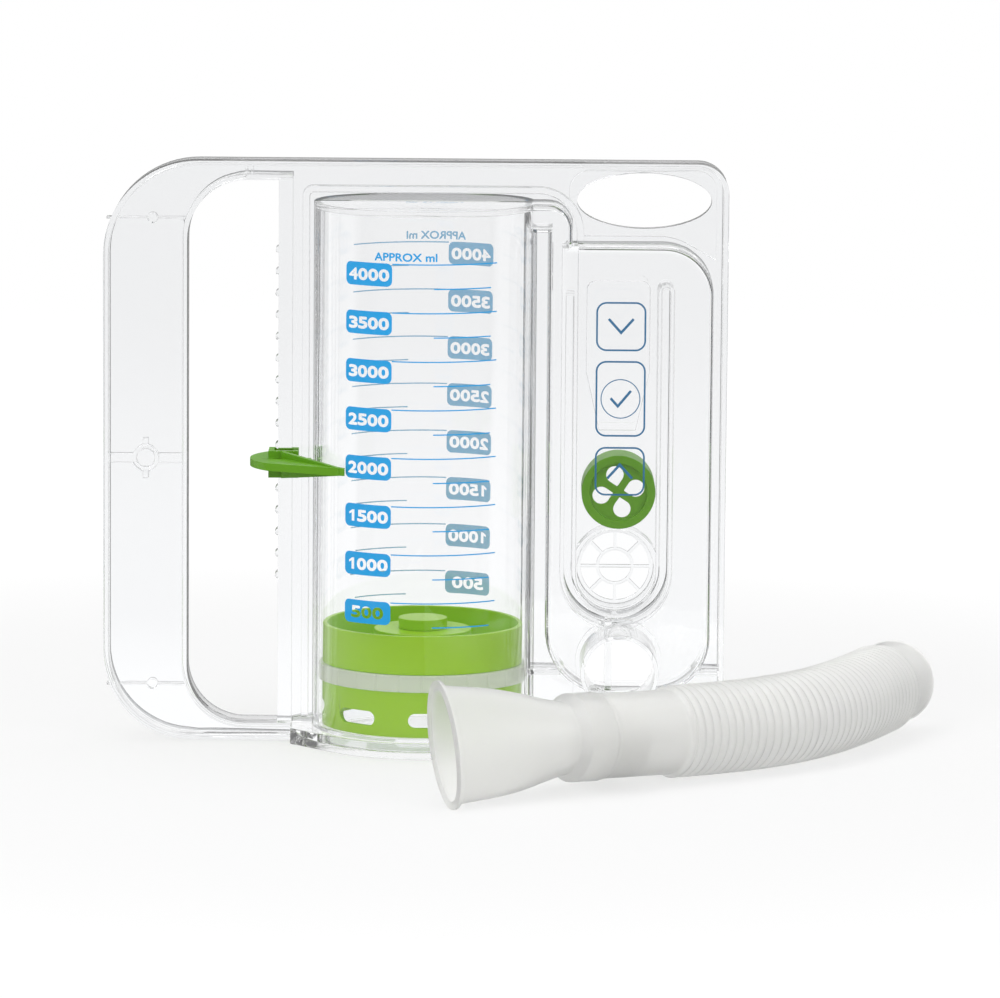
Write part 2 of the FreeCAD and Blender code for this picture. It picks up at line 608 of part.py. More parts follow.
def shell_hollows(body, front):
    """Tube bore, duct and passage cavities, the folded track wall and the septum."""
    outward = not front
    bore = new_sketch(body, body.Name + "_bore", "XY_Plane", "tube_foot")
    draw_half_disc(bore, "tube_bore", front)
    pocket(body, bore, "tube_top - tube_wall - tube_foot", True)
    cavity = new_sketch(body, body.Name + "_cavity")
    draw_round_box(cavity, "tube_bore + tube_wall + duct_gap + duct_wall",
                   "panel_reach - duct_margin - duct_wall",
                   "duct_floor + duct_wall", "duct_top - duct_wall",
                   ["duct_corner_near - duct_wall", "duct_corner_far - duct_wall",
                    "duct_corner_top - duct_wall", None])
    pocket(body, cavity, "duct_depth - duct_wall", front)
    link = new_sketch(body, body.Name + "_link")
    draw_round_box(link, "tube_bore - 3 * overlap", "passage_reach - duct_wall",
                   "passage_floor + duct_wall", "tube_top - tube_wall",
                   [None, None, "passage_turn - tube_wall", None])
    pocket(body, link, "duct_depth - duct_wall", front)
    drop = new_sketch(body, body.Name + "_drop")
    draw_round_box(drop, "tube_bore + tube_wall + duct_gap + duct_wall", "passage_reach - duct_wall",
                   "duct_top - 5 * overlap", "passage_floor + 2 * duct_wall", [None] * 4)
    pocket(body, drop, "duct_depth - duct_wall", front)
    fold = new_sketch(body, body.Name + "_fold")
    draw_track_fold(fold, "0", "duct_top - duct_wall / 2", "fold_top")
    pad(body, fold, "duct_depth - duct_wall / 2", outward)
    sign = "" if front else "-"
    groove = new_sketch(body, body.Name + "_groove", offset=f"{sign}fold_sheet")
    draw_track_fold(groove, "fold_sheet", "duct_top - duct_corner_top", "fold_top")
    pocket(body, groove, "duct_depth", front)
    bypass = new_sketch(body, body.Name + "_bypass", offset=f"{sign}( duct_depth - duct_wall - overlap )")
    draw_outline(bypass, [
        ("track_axis - bypass_foot_half", "bypass_foot", None),
        ("track_axis + bypass_foot_half", "bypass_foot", None),
        ("track_axis + bypass_half", "bypass_bend", None),
        ("track_axis + bypass_half", "bypass_top", "bypass_round"),
        ("track_axis - bypass_half", "bypass_top", "bypass_round"),
        ("track_axis - bypass_half", "bypass_bend", None),
    ])
    pocket(body, bypass, "bypass_depth + overlap", front)
    wall = new_sketch(body, body.Name + "_septum")
    draw_round_box(wall, "track_axis - septum - septum / 2", "track_axis - septum / 2",
                   "duct_floor + duct_wall / 2", "track_centre - track_half - track_fold / 2",
                   [None] * 4)
    pad(body, wall, "duct_depth - duct_wall / 2", outward)


def shell_plate(body, front):
    """Raised plate round the finger hole; its lower left corner runs under the weld bead."""
    under_bead = "passage_reach + bead_gap + bead_width / 2"
    low = "duct_top + plate_gap"
    right = "panel_reach - rim_wall - plate_margin"
    top = "panel_height - rim_wall - plate_margin / 2"
    plate = new_sketch(body, body.Name + "_plate")
    draw_outline(plate, [
        (under_bead, low, None),
        ("panel_reach - plate_bend", low, "plate_bend_round"),
        (right, f"{low} - plate_drop", None),
        (right, top, "plate_corner"),
        ("plate_left", top, "plate_corner"),
        ("plate_left", "bead_top - bead_turn / 3", None),
        (under_bead, "bead_top - 2 * bead_turn / 3", None),
    ])
    pad(body, plate, "web + plate_rise", not front)


def shell_grip_forms(body, front):
    """Ring boss with ribs and tabs in the middle of the grip, two small bosses on thin ribs, bar ribs."""
    depth = "web + form_proud"
    left = "rim_wall / 2 - grip_reach"
    right = "grip_width - grip_reach - rim_wall / 2"
    boss = new_sketch(body, body.Name + "_boss")
    draw_circle(boss, "-boss_offset", "boss_height", "boss_radius")
    draw_circle(boss, "-boss_offset", "boss_height", "boss_bore")
    pad(body, boss, depth, not front)
    middle = "( boss_radius + boss_bore ) / 2"
    sides = new_sketch(body, body.Name + "_boss_ribs")
    for start, end in ((left, f"-boss_offset - {middle}"), (f"-boss_offset + {middle}", right)):
        draw_round_box(sides, start, end, "boss_height - boss_rib", "boss_height + boss_rib", [None] * 4)
    for start, end in ((f"boss_height + {middle}", "boss_height + boss_tab_reach"),
                       ("boss_height - boss_tab_reach", f"boss_height - {middle}")):
        draw_round_box(sides, "-boss_offset - boss_tab", "-boss_offset + boss_tab", start, end, [None] * 4)
    pad(body, sides, f"{depth} - sliver", not front)
    for name, height in (("top", "knot_top"), ("foot", "knot_foot")):
        knot = new_sketch(body, f"{body.Name}_knot_{name}")
        draw_circle(knot, "-knot_offset", height, "knot_radius")
        pad(body, knot, depth, not front)
        rib = new_sketch(body, f"{body.Name}_knot_rib_{name}")
        draw_round_box(rib, left, right, f"{height} - knot_rib / 2", f"{height} + knot_rib / 2", [None] * 4)
        pad(body, rib, f"{depth} - sliver", not front)
    bars = new_sketch(body, body.Name + "_bar_ribs")
    for place in ("-bar_rib_offset", "bar_rib_pitch - bar_rib_offset"):
        draw_round_box(bars, f"{place} - knot_rib / 2", f"{place} + knot_rib / 2",
                       "panel_height - grip_top + rim_wall / 2", "panel_height - rim_wall / 2", [None] * 4)
    pad(body, bars, depth, not front)


def shell_openings(body, front):
    """Finger hole and the stiffening ledges beside the duct."""
    for name, left, right in (
        ("near", "tube_bore + tube_wall - overlap", "tube_bore + tube_wall + duct_gap + duct_corner_near / 4"),
        ("far", "panel_reach - duct_margin - duct_corner_far / 4", "panel_reach - rim_wall / 2"),
    ):
        ledge = new_sketch(body, f"{body.Name}_ledge_{name}")
        draw_round_box(ledge, left, right, "ledge_height", "ledge_height + rim_wall", [None] * 4)
        pad(body, ledge, "rim_depth", not front)
    hole = new_sketch(body, body.Name + "_finger_hole")
    draw_ellipse(hole, "finger_x", "finger_z", "finger_half_width", "finger_half_height")
    pocket(body, hole, "2 * rim_depth", front)


def shell_seam(body, front):
    """Trim the shell back from the parting plane by half of the seam gap."""
    trim = new_sketch(body, body.Name + "_seam")
    draw_round_box(trim, "-grip_reach - overlap", "panel_reach + overlap", "-overlap",
                   "panel_height + overlap", [None] * 4)
    pocket(body, trim, "seam_gap / 2", front)


def front_shell():
    body = new_body("front_shell")
    shell_rim(body, True)
    shell_detents(body, True)
    shell_forms(body, True)
    shell_hollows(body, True)
    shell_plate(body, True)
    shell_openings(body, True)
    shell_grip_forms(body, True)
    collar = new_sketch(body, "port_collar", offset="duct_depth - duct_wall / 2")
    draw_circle(collar, "port_offset", "port_height", "collar_radius")
    pad(body, collar, "collar_length + duct_wall / 2")
    spigot = new_sketch(body, "port_spigot", offset="duct_depth - duct_wall / 2")
    draw_circle(spigot, "port_offset", "port_height", "port_radius")
    pad(body, spigot, "port_length + duct_wall / 2")
    bore = new_sketch(body, "port_bore", offset="duct_depth - duct_wall")
    draw_circle(bore, "port_offset", "port_height", "port_radius - port_wall")
    pocket(body, bore, "port_length + 2 * duct_wall", True)
    shell_seam(body, True)


def rear_shell():
    body = new_body("rear_shell")
    shell_rim(body, False)
    shell_detents(body, False)
    shell_forms(body, False)
    shell_hollows(body, False)
    shell_plate(body, False)
    shell_openings(body, False)
    shell_grip_forms(body, False)
    ring = new_sketch(body, "inlet_ring")
    draw_circle(ring, "track_axis", "track_centre", "inlet_bore + inlet_ring")
    pad(body, ring, "duct_depth - duct_wall / 2", True)
    inlet = new_sketch(body, "inlet_bore_cut")
    draw_circle(inlet, "track_axis", "track_centre", "inlet_bore")
    pocket(body, inlet, "2 * duct_depth", False)
    shell_seam(body, False)


def base_cap():
    """Round foot with two tails, a groove for the tube and the ring that carries the piston."""
    body = new_body("base_cap")
    disc = new_sketch(body, "cap_disc", "XY_Plane")
    draw_circle(disc, "0", "0", "base_radius")
    pad(body, disc, "base_height")
    tails = new_sketch(body, "cap_tails", "XY_Plane")
    flank = "sqrt ( base_radius ^ 2 - flank_x ^ 2 )"
    draw_polygon(tails, [
        ("-tail_reach", "-tail_half"), ("-flank_x", f"-( {flank} )"),
        ("flank_x", f"-( {flank} )"), ("tail_reach", "-tail_half"),
        ("tail_reach", "tail_half"), ("flank_x", flank),
        ("-flank_x", flank), ("-tail_reach", "tail_half"),
    ])
    block = pad(body, tails, "base_height")
    high = number("base_height")
    upright = edges_where(body.Shape, lambda edge, at: abs(at.z - high / 2) < 0.01
                          and abs(abs(at.x) - number("tail_reach")) < 0.01)
    block = fillet(body, block, upright, "base_edge")
    room = new_sketch(body, "cap_room", "XY_Plane", "base_floor")
    draw_circle(room, "0", "0", "tube_bore + tube_wall + seat_clearance")
    pocket(body, room, "base_height", True)
    ring = new_sketch(body, "cap_ring", "XY_Plane")
    draw_circle(ring, "0", "0", "tube_bore - seat_clearance")
    draw_circle(ring, "0", "0", "tube_bore - seat_clearance - plug_wall")
    pad(body, ring, "plug_height")


def inlet_grille():
    """Rim, hub ring with one bar across it, and eight spokes that let room air under the float."""
    body = new_body("inlet_grille")
    disc = grille_sketch(body, "grille_disc")
    draw_circle(disc, "0", "0", "inlet_bore - seat_clearance")
    draw_circle(disc, "0", "0", "inlet_bore - seat_clearance - grille_rim")
    pad(body, disc, "grille_plate")
    bar = grille_sketch(body, "grille_bar_across")
    draw_round_box(bar, "grille_rim / 2 - inlet_bore", "inlet_bore - grille_rim / 2",
                   "-grille_bar / 2", "grille_bar / 2", [None] * 4)
    pad(body, bar, "grille_plate")
    hub = grille_sketch(body, "grille_hub_ring")
    draw_circle(hub, "0", "0", "grille_hub")
    draw_circle(hub, "0", "0", "grille_hub - grille_bar")
    pad(body, hub, "grille_plate")
    spoke = grille_sketch(body, "grille_spoke")
    draw_round_box(spoke, "-grille_bar / 2", "grille_bar / 2",
                   "grille_hub - grille_bar / 2", "inlet_bore - grille_rim / 2", [None] * 4)
    first = pad(body, spoke, "grille_plate")
    pattern(body, "PolarPattern", "grille_spokes", first, (spoke, ["N_Axis"]), "8", "360")


def grille_sketch(body, name):
    """A sketch on the outer face of the grille, with its origin on the grille's axis."""
    sketch = new_sketch(body, name, offset="-duct_depth")
    sketch.setExpression("AttachmentOffset.Base.x", bound("track_axis"))
    sketch.setExpression("AttachmentOffset.Base.y", bound("track_centre"))
    return sketch


# Piston: cup, seal, skirt and valve button, all turned about the tube axis


def turned(label, profile):
    body = new_body(label)
    sketch = new_sketch(body, label + "_profile")
    draw_polygon(sketch, profile)
    revolve(body, sketch)
    return body


def piston():
    wall = "tube_bore - piston_gap"
    skirt_top = "piston_rest + skirt_height"
    seal_top = f"{skirt_top} + seal_height"
    rim = f"{seal_top} + cup_height"
    turret_top = f"{rim} - turret_drop"
    spigot = "tube_bore - seal_gap - seal_ring - seat_clearance"
    turned("piston_cup", [
        ("stem_radius + seat_clearance", f"{turret_top} - piston_wall"),
        ("turret_radius - piston_wall", f"{turret_top} - piston_wall"),
        ("turret_radius - piston_wall", seal_top),
        (f"{spigot} - spigot_wall", seal_top),
        (f"{spigot} - spigot_wall", skirt_top),
        (spigot, skirt_top),
        (spigot, seal_top),
        (wall, seal_top),
        (wall, rim),
        (f"{wall} - piston_wall", rim),
        (f"{wall} - piston_wall", f"{seal_top} + piston_wall"),
        ("turret_radius", f"{seal_top} + piston_wall"),
        ("turret_radius", turret_top),
        ("stem_radius + seat_clearance", turret_top),
    ])
    turned("piston_seal", [
        (f"{spigot} + seat_clearance", skirt_top),
        ("tube_bore - seal_gap", skirt_top),
        ("tube_bore - seal_gap", seal_top),
        (f"{spigot} + seat_clearance", seal_top),
    ])
    skirt = turned("piston_skirt", [
        (f"{wall} - piston_wall", "piston_rest"),
        (wall, "piston_rest"),
        (wall, skirt_top),
        ("skirt_hole", skirt_top),
        ("skirt_hole", f"{skirt_top} - piston_wall"),
        (f"{wall} - piston_wall", f"{skirt_top} - piston_wall"),
    ])
    slot = new_sketch(skirt, "skirt_slot")
    out = f"( {wall} - 3 * piston_wall )"
    slot.AttachmentOffset = FreeCAD.Placement(FreeCAD.Vector(), FreeCAD.Rotation(FreeCAD.Vector(0, 1, 0), 1))
    slot.setExpression("AttachmentOffset.Rotation.Angle", bound("slot_turn"))
    slot.setExpression("AttachmentOffset.Base.x", bound(f"{out} * sin ( slot_turn )"))
    slot.setExpression("AttachmentOffset.Base.z", bound(f"{out} * cos ( slot_turn )"))
    low, high = "piston_rest + slot_rise", "piston_rest + slot_rise + slot_height"
    end = "slot_height / 2 - sliver"
    draw_round_box(slot, "-slot_length / 2", "slot_length / 2", low, high, [end] * 4)
    cut = pocket(skirt, slot, "4 * piston_wall", True)
    up = next(item for item in skirt.Origin.OriginFeatures if item.Role == "Z_Axis")
    pattern(skirt, "PolarPattern", "skirt_slots", cut, (up, [""]), "slot_count", "360")
    turned("valve_button", [
        ("0", f"{turret_top} - stem_length"),
        ("stem_radius", f"{turret_top} - stem_length"),
        ("stem_radius", turret_top),
        ("button_radius", turret_top),
        ("button_radius", f"{turret_top} + button_height"),
        ("0", f"{turret_top} + button_height"),
    ])


def flow_float():
    """Cup-shaped float across the track, with four teardrop holes in its face."""
    body = new_body("flow_float")
    drum = float_sketch(body, "float_drum", "-float_length / 2")
    draw_circle(drum, "0", "0", "float_radius")
    pad(body, drum, "float_length")
    face = float_sketch(body, "float_face_recess", "float_length / 2 - float_recess")
    draw_circle(face, "0", "0", "float_radius - float_rim")
    pocket(body, face, "2 * float_recess", True)
    inside = float_sketch(body, "float_inside", "-float_length / 2")
    draw_circle(inside, "0", "0", "float_radius - float_wall")
    pocket(body, inside, "float_length - float_recess - float_face", True)
    petal = float_sketch(body, "float_petal", "-float_length / 2")
    draw_teardrop(petal)
    cut = pocket(body, petal, "2 * float_length", True)
    pattern(body, "PolarPattern", "float_petals", cut, (petal, ["N_Axis"]), "4", "360")
    return body


def float_sketch(body, name, offset):
    """A sketch across the float's axis, with the sketch's origin on it."""
    sketch = new_sketch(body, name, offset=offset)
    middle = "track_centre + inlet_bore + inlet_ring + float_seat + float_radius"
    sketch.setExpression("AttachmentOffset.Base.x", bound("track_axis + float_shift"))
    sketch.setExpression("AttachmentOffset.Base.y", bound(middle))
    sketch.setExpression("AttachmentOffset.Rotation.Angle", bound("petal_turn"))
    return sketch


def draw_teardrop(sketch):
    """A round end away from the float's axis and two straight sides that meet towards it."""
    orbit, radius, tip = (number(name) for name in ("petal_orbit", "petal_radius", "petal_tip"))
    half = math.degrees(math.acos(radius / tip))
    curve = sketch.addGeometry(arc(orbit, 0, radius, 180 + half, 540 - half))
    ends = [curve_point(orbit, 0, radius, angle) for angle in (180 + half, 180 - half)]
    lower = sketch.addGeometry(segment(orbit - tip, 0, *ends[0]))
    upper = sketch.addGeometry(segment(*ends[1], orbit - tip, 0))
    sketch.addConstraint(Sketcher.Constraint("Tangent", lower, 2, curve, 1))
    sketch.addConstraint(Sketcher.Constraint("Tangent", curve, 2, upper, 1))
    sketch.addConstraint(Sketcher.Constraint("Coincident", upper, 2, lower, 1))
    place_point(sketch, curve, 3, "petal_orbit", "0")
    bind(sketch, "Radius", curve, to="petal_radius")
    place_point(sketch, lower, 1, "petal_orbit - petal_tip", "0")


def curve_point(x, y, radius, angle):
    return x + radius * math.cos(math.radians(angle)), y + radius * math.sin(math.radians(angle))


def pointer():
    """Clip on the rail with a thumb tab and a thin plate that points at the scale."""
    body = new_body("pointer")
    low = "pointer_height - clip_drop - clip_height / 2"
    clip = new_sketch(body, "pointer_clip", "XY_Plane", low)
    left = "-rail_offset - detent_proud - clip_gap"
    right = "rail_width - rail_offset + clip_gap"
    deep = "rail_depth + clip_gap"
    slit = "web + clip_gap"
    draw_polygon(clip, [
        (f"{left} - clip_wall", f"-( {deep} ) - clip_wall"),
        (f"{right} + clip_wall", f"-( {deep} ) - clip_wall"),
        (f"{right} + clip_wall", f"-( {slit} )"),
        (right, f"-( {slit} )"),
        (right, f"-( {deep} )"),
        (left, f"-( {deep} )"),
        (left, deep),
        (right, deep),
        (right, slit),
        (f"{right} + clip_wall", slit),
        (f"{right} + clip_wall", f"{deep} + clip_wall"),
        (f"{left} - clip_wall", f"{deep} + clip_wall"),
    ])
    pad(body, clip, "clip_height")
    plate = new_sketch(body, "pointer_blade", "XY_Plane", "pointer_height - pointer_plate / 2")
    draw_pointer_plate(plate, f"{left} - clip_wall + overlap / 2", f"-( {deep} )")
    blade = pad(body, plate, "pointer_plate")
    tip_x = number("tip_x")
    tip = edges_where(body.Shape, lambda edge, at: abs(at.x + tip_x) < number("sliver")
                      and abs(at.z - number("pointer_height")) < number("sliver"))
    fillet(body, blade, tip, "tip_round")
    draw_pointer_web(body)
    return body


def draw_pointer_plate(sketch, edge, inner):
    """Thumb tab as an arc, front edge to the tip, then back beside the tube to the clip."""
    round_tube = "tube_bore + tube_wall + tip_gap"
    shoulder = "tube_bore + tube_wall + bead_gap + bead_width"
    step_y = "bead_depth + tip_gap"
    radius, tip_x, depth = number(round_tube), -number("tip_x"), -number(step_y)
    tip_y = -math.sqrt(radius ** 2 - tip_x ** 2)
    low = tip_y - number("tip_width")
    side, rear, front = number(edge), number("tab_rear"), -number("tab_front")
    wrap_x = -math.sqrt(radius ** 2 - depth ** 2)
    bulge = Part.Arc(FreeCAD.Vector(side, rear, 0),
                     FreeCAD.Vector(-number("tab_reach"), (rear + front) / 2, 0),
                     FreeCAD.Vector(side, front, 0))
    around = [math.degrees(math.atan2(y, x)) for x, y in ((wrap_x, depth), (tip_x, tip_y))]
    spots = [(wrap_x, depth), (-number(shoulder), depth), (-number(shoulder), number(inner)),
             (side, number(inner)), (side, rear)]
    tab = sketch.addGeometry(bulge)
    blade = sketch.addGeometry(segment(side, front, tip_x, low))
    nose = sketch.addGeometry(segment(tip_x, low, tip_x, tip_y))
    hollow = sketch.addGeometry(arc(0, 0, radius, around[0], around[1] + 360 * (around[1] < around[0])))
    step, notch, back, close = (sketch.addGeometry(segment(*here, *there))
                                for here, there in zip(spots, spots[1:]))
    sketch.addConstraint(Sketcher.Constraint("Coincident", hollow, 3, -1, 1))
    bind(sketch, "Radius", hollow, to=round_tube)
    for first, at_end, second in ((blade, 2, nose), (step, 2, notch), (notch, 2, back), (back, 2, close)):
        sketch.addConstraint(Sketcher.Constraint("Coincident", first, at_end, second, 1))
    sketch.addConstraint(Sketcher.Constraint("Coincident", nose, 2, hollow, 2))
    sketch.addConstraint(Sketcher.Constraint("Coincident", step, 1, hollow, 1))
    sketch.addConstraint(Sketcher.Constraint("Vertical", nose))
    sketch.addConstraint(Sketcher.Constraint("Horizontal", step))
    sketch.addConstraint(Sketcher.Constraint("Vertical", notch))
    sketch.addConstraint(Sketcher.Constraint("Horizontal", back))
    sketch.addConstraint(Sketcher.Constraint("Vertical", close))
    rear_end, front_end = (1, 2) if sketch.getPoint(tab, 1).y > sketch.getPoint(tab, 2).y else (2, 1)
    sketch.addConstraint(Sketcher.Constraint("Coincident", close, 2, tab, rear_end))
    sketch.addConstraint(Sketcher.Constraint("Coincident", blade, 1, tab, front_end))
    bind(sketch, "DistanceX", -1, 1, nose, 2, to="-tip_x")
    bind(sketch, "DistanceY", nose, 1, nose, 2, to="tip_width")
    place_point(sketch, step, 1, None, f"-( {step_y} )")
    place_point(sketch, notch, 2, f"-( {shoulder} )", inner)
    place_point(sketch, close, 2, edge, "tab_rear")
    place_point(sketch, blade, 1, edge, "-tab_front")
    rise = f"( tab_reach + ( {edge} ) )"
    span = "( tab_rear + tab_front )"
    bind(sketch, "Radius", tab, to=f"( {span} ^ 2 / 4 + {rise} ^ 2 ) / ( 2 * {rise} )")


def draw_pointer_web(body):
    """Upright web from the clip to the tip: as tall as the clip, then down to the plate."""
    reach = number("tube_bore + tube_wall + tip_gap + tip_width")
    root_x, root_y = -number("gusset_x"), -number("gusset_y")
    tip_x = -number("tip_x + tip_width")
    tip_y = -math.sqrt(reach ** 2 - tip_x ** 2)
    angle = math.degrees(math.atan2(tip_y - root_y, tip_x - root_x))
    web = new_sketch(body, "pointer_web")
    web.AttachmentOffset = FreeCAD.Placement(FreeCAD.Vector(root_x, 0, -root_y),
                                             FreeCAD.Rotation(FreeCAD.Vector(0, 1, 0), angle))
    span = math.hypot(tip_x - root_x, tip_y - root_y)
    half_plate, half_clip = number("pointer_plate") / 2, number("clip_height") / 2
    middle = number("pointer_height")
    drop = number("clip_drop")
    corners = [(0, middle - drop - half_clip), (span, middle - half_plate),
               (span, middle + half_plate), (0, middle - drop + half_clip)]
    sides = [sketch_line(web, here, there) for here, there in zip(corners, corners[1:] + corners[:1])]
    for side, following in zip(sides, sides[1:] + sides[:1]):
        web.addConstraint(Sketcher.Constraint("Coincident", side, 2, following, 1))
    for side, up in zip(sides, ("pointer_height - clip_drop - clip_height / 2",
                                "pointer_height - pointer_plate / 2",
                                "pointer_height + pointer_plate / 2",
                                "pointer_height - clip_drop + clip_height / 2")):
        place_point(web, side, 1, None, up)
    for side, across in zip(sides, (0, span, span, 0)):
        web.addConstraint(Sketcher.Constraint("DistanceX", -1, 1, side, 1, across))
    feature = body.newObject("PartDesign::Pad", "pointer_web_pad")
    feature.Profile = web
    feature.Midplane = True
    feature.setExpression("Length", bound("gusset"))
    doc.recompute()


def sketch_line(sketch, here, there):
    return sketch.addGeometry(segment(*here, *there))


# Hose and mouthpiece


def vector(point):
    return FreeCAD.Vector(*point)


def route_wire(points):
    """Straight runs joined by tangent arcs as large as the runs allow."""
    edges = []
    start = points[0]
    for before, corner, after in zip(points, points[1:], points[2:]):
        back = (before - corner).normalize()
        ahead = (after - corner).normalize()
        run = min((before - corner).Length, (after - corner).Length)
        turn = math.pi - back.getAngle(ahead)
        reach = ARC_SHARE * run
        radius = reach / math.tan(turn / 2)
        print(f"hose bend radius {radius:.0f} mm")
        enter, leave = corner + back * reach, corner + ahead * reach
        inward = (back + ahead).normalize()
        middle = corner + inward * (math.hypot(radius, reach) - radius)
        edges.append(Part.LineSegment(start, enter).toShape())
        edges.append(Part.Arc(enter, middle, leave).toShape())
        start = leave
    edges.append(Part.LineSegment(start, points[-1]).toShape())
    return Part.Wire(edges)


def tube_along(points, radius):
    spine = route_wire(points)
    direction = points[1] - points[0]
    ring = Part.Wire(Part.makeCircle(radius, points[0], direction))
    solid = spine.makePipeShell([ring], True, True)
    ratio = solid.Volume / (math.pi * radius ** 2 * spine.Length)
    print(f"hose solid against section times length {ratio:.4f}")
    return solid


def fold_rings(points, first, last):
    """Rings of V section to cut round the tube, evenly spaced between two lengths along its line."""
    spine = route_wire(points)
    count = int(number("fold_count"))
    mouth = number("hose_radius + fold_depth")
    root = number("hose_radius - fold_depth")
    half = number("2 * fold_half")
    rings = []
    for index in range(count):
        left = first + (last - first) * (index + 0.5) / count
        for edge in spine.Edges:
            if left <= edge.Length:
                break
            left -= edge.Length
        place = edge.getParameterByLength(left)
        middle, ahead = edge.valueAt(place), edge.tangentAt(place)
        side = ahead.cross(FreeCAD.Vector(0, 0, 1)).normalize()
        corners = [middle + side * mouth - ahead * half, middle + side * root, middle + side * mouth + ahead * half]
        section = Part.Face(Part.makePolygon(corners + corners[:1]))
        rings.append(section.revolve(middle, ahead, 360))
    return rings


def hose():
    route = [vector(point) for point in HOSE_ROUTE]
    first = (route[1] - route[0]).normalize()
    last = (route[-2] - route[-1]).normalize()
    middle = [route[0] + first * number("near_cuff")] + route[1:-1]
    middle.append(route[-1] + last * number("far_cuff"))
    body = tube_along(route, number("hose_bore + cuff_wall"))
    body = body.fuse(tube_along(middle, number("hose_radius")))
    length = route_wire(route).Length
    for ring in fold_rings(route, number("near_cuff"), length - number("far_cuff")):
        body = body.cut(ring)
    body = body.cut(tube_along(route, number("hose_bore"))).removeSplitter()
    feature = doc.addObject("Part::Feature", "hose")
    feature.Label = "hose"
    feature.Shape = body.Solids[0]
    NODES.append(feature)


def mouthpiece():
    """Turned spigot and collar, then a loft from the round neck to a flat oval mouth with a lip."""
    bore = "neck_radius - mouth_wall"
    body = turned("mouthpiece", [
        (bore, "-spigot_length"),
        ("spigot_radius", "-spigot_length"),
        ("spigot_radius", "seat_clearance"),
        ("hose_bore + cuff_wall", "seat_clearance"),
        ("hose_bore + cuff_wall", "shoulder_length"),
        ("neck_radius", "neck_at"),
        (bore, "neck_at"),
    ])
    neck = ("neck_at", "neck_radius", None)
    horn = [
        ("horn_a_at", "horn_a_major", "horn_a_minor"),
        ("horn_b_at", "horn_b_major", "horn_b_minor"),
        ("horn_c_at", "horn_c_major", "horn_c_minor"),
    ]
    end = ("mouth_length - lip_thick", "mouth_major", "mouth_minor")
    loft(body, "horn", [neck] + horn + [end], "0", additive=True)
    lip = new_sketch(body, "mouth_lip", "XY_Plane", "mouth_length - lip_thick")
    draw_ellipse(lip, "0", "0", "mouth_major + lip_out", "mouth_minor + lip_out")
    pad(body, lip, "lip_thick")
    end = ("mouth_length + sliver", "mouth_major", "mouth_minor")
    loft(body, "throat", [neck] + horn + [end], "mouth_wall", additive=False)
    body.Placement = mouthpiece_placement()


def mouthpiece_placement():
    """Local Z runs out of the hose; local X, the wide way of the mouth, leans off upright."""
    start, after = vector(HOSE_ROUTE[0]), vector(HOSE_ROUTE[1])
    outward = (start - after).normalize()
    level = FreeCAD.Vector(0, 0, 1).cross(outward).normalize()
    upright = outward.cross(level)
    lean = math.radians(number("mouth_roll"))
    wide = upright * math.cos(lean) - level * math.sin(lean)
    rotation = FreeCAD.Rotation(wide, outward.cross(wide), outward, "ZXY")
    return FreeCAD.Placement(start, rotation)


def loft(body, name, sections, inset, additive):
    """A loft through sections across the local axis, each made smaller by the inset."""
    sketches = []
    for index, (station, major, minor) in enumerate(sections):
        sketch = new_sketch(body, f"{name}_{index}", "XY_Plane", station)
        if minor:
            draw_ellipse(sketch, "0", "0", f"{major} - {inset}", f"{minor} - {inset}")
        else:
            draw_circle(sketch, "0", "0", f"{major} - {inset}")
        sketches.append(sketch)
    kind = "PartDesign::AdditiveLoft" if additive else "PartDesign::SubtractiveLoft"
    feature = body.newObject(kind, name)
    feature.Profile = sketches[0]
    feature.Sections = sketches[1:]
    feature.Ruled = False
    doc.recompute()
    return feature


def check_and_write():
    doc.recompute()
    for item in doc.Objects:
        if any(word in ("Invalid", "Error") for word in item.State):
            raise RuntimeError(f"{item.Name} failed: {item.State}")
    os.makedirs("parts", exist_ok=True)
    for node in NODES:
        shape = node.Shape
        if shape.isNull() or not shape.isValid() or not shape.Solids:
            raise RuntimeError(f"{node.Label} has no valid solid")
        shape.exportStep(f"parts/{node.Label}.step")
        box = shape.BoundBox
        print(f"{node.Label}: {len(shape.Solids)} solid, {shape.Volume / 1000:.2f} cm3, "
              f"X {box.XMin:.1f} to {box.XMax:.1f}, Y {box.YMin:.1f} to {box.YMax:.1f}, "
              f"Z {box.ZMin:.1f} to {box.ZMax:.1f}")


front_shell()
rear_shell()
base_cap()
inlet_grille()
piston()
flow_float()
pointer()
hose()
mouthpiece()
check_and_write()
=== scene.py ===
"""Looks of a volumetric incentive spirometer: clear moulded housing, green piston, float and pointer,
printed scales and signs, corrugated breathing hose and mouthpiece, on a white studio floor.

Lengths are metres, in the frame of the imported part: X right, Y away from the scale's reader, Z up.
"""

from __future__ import annotations

import logging
import math
from dataclasses import dataclass, field, fields
from enum import Enum

import bmesh
import bpy
import numpy as np
from bpy.types import ID, Curve, Material, Mesh, Node, NodeSocket, NodeTree, Object, Spline
from mathutils import Matrix, Vector

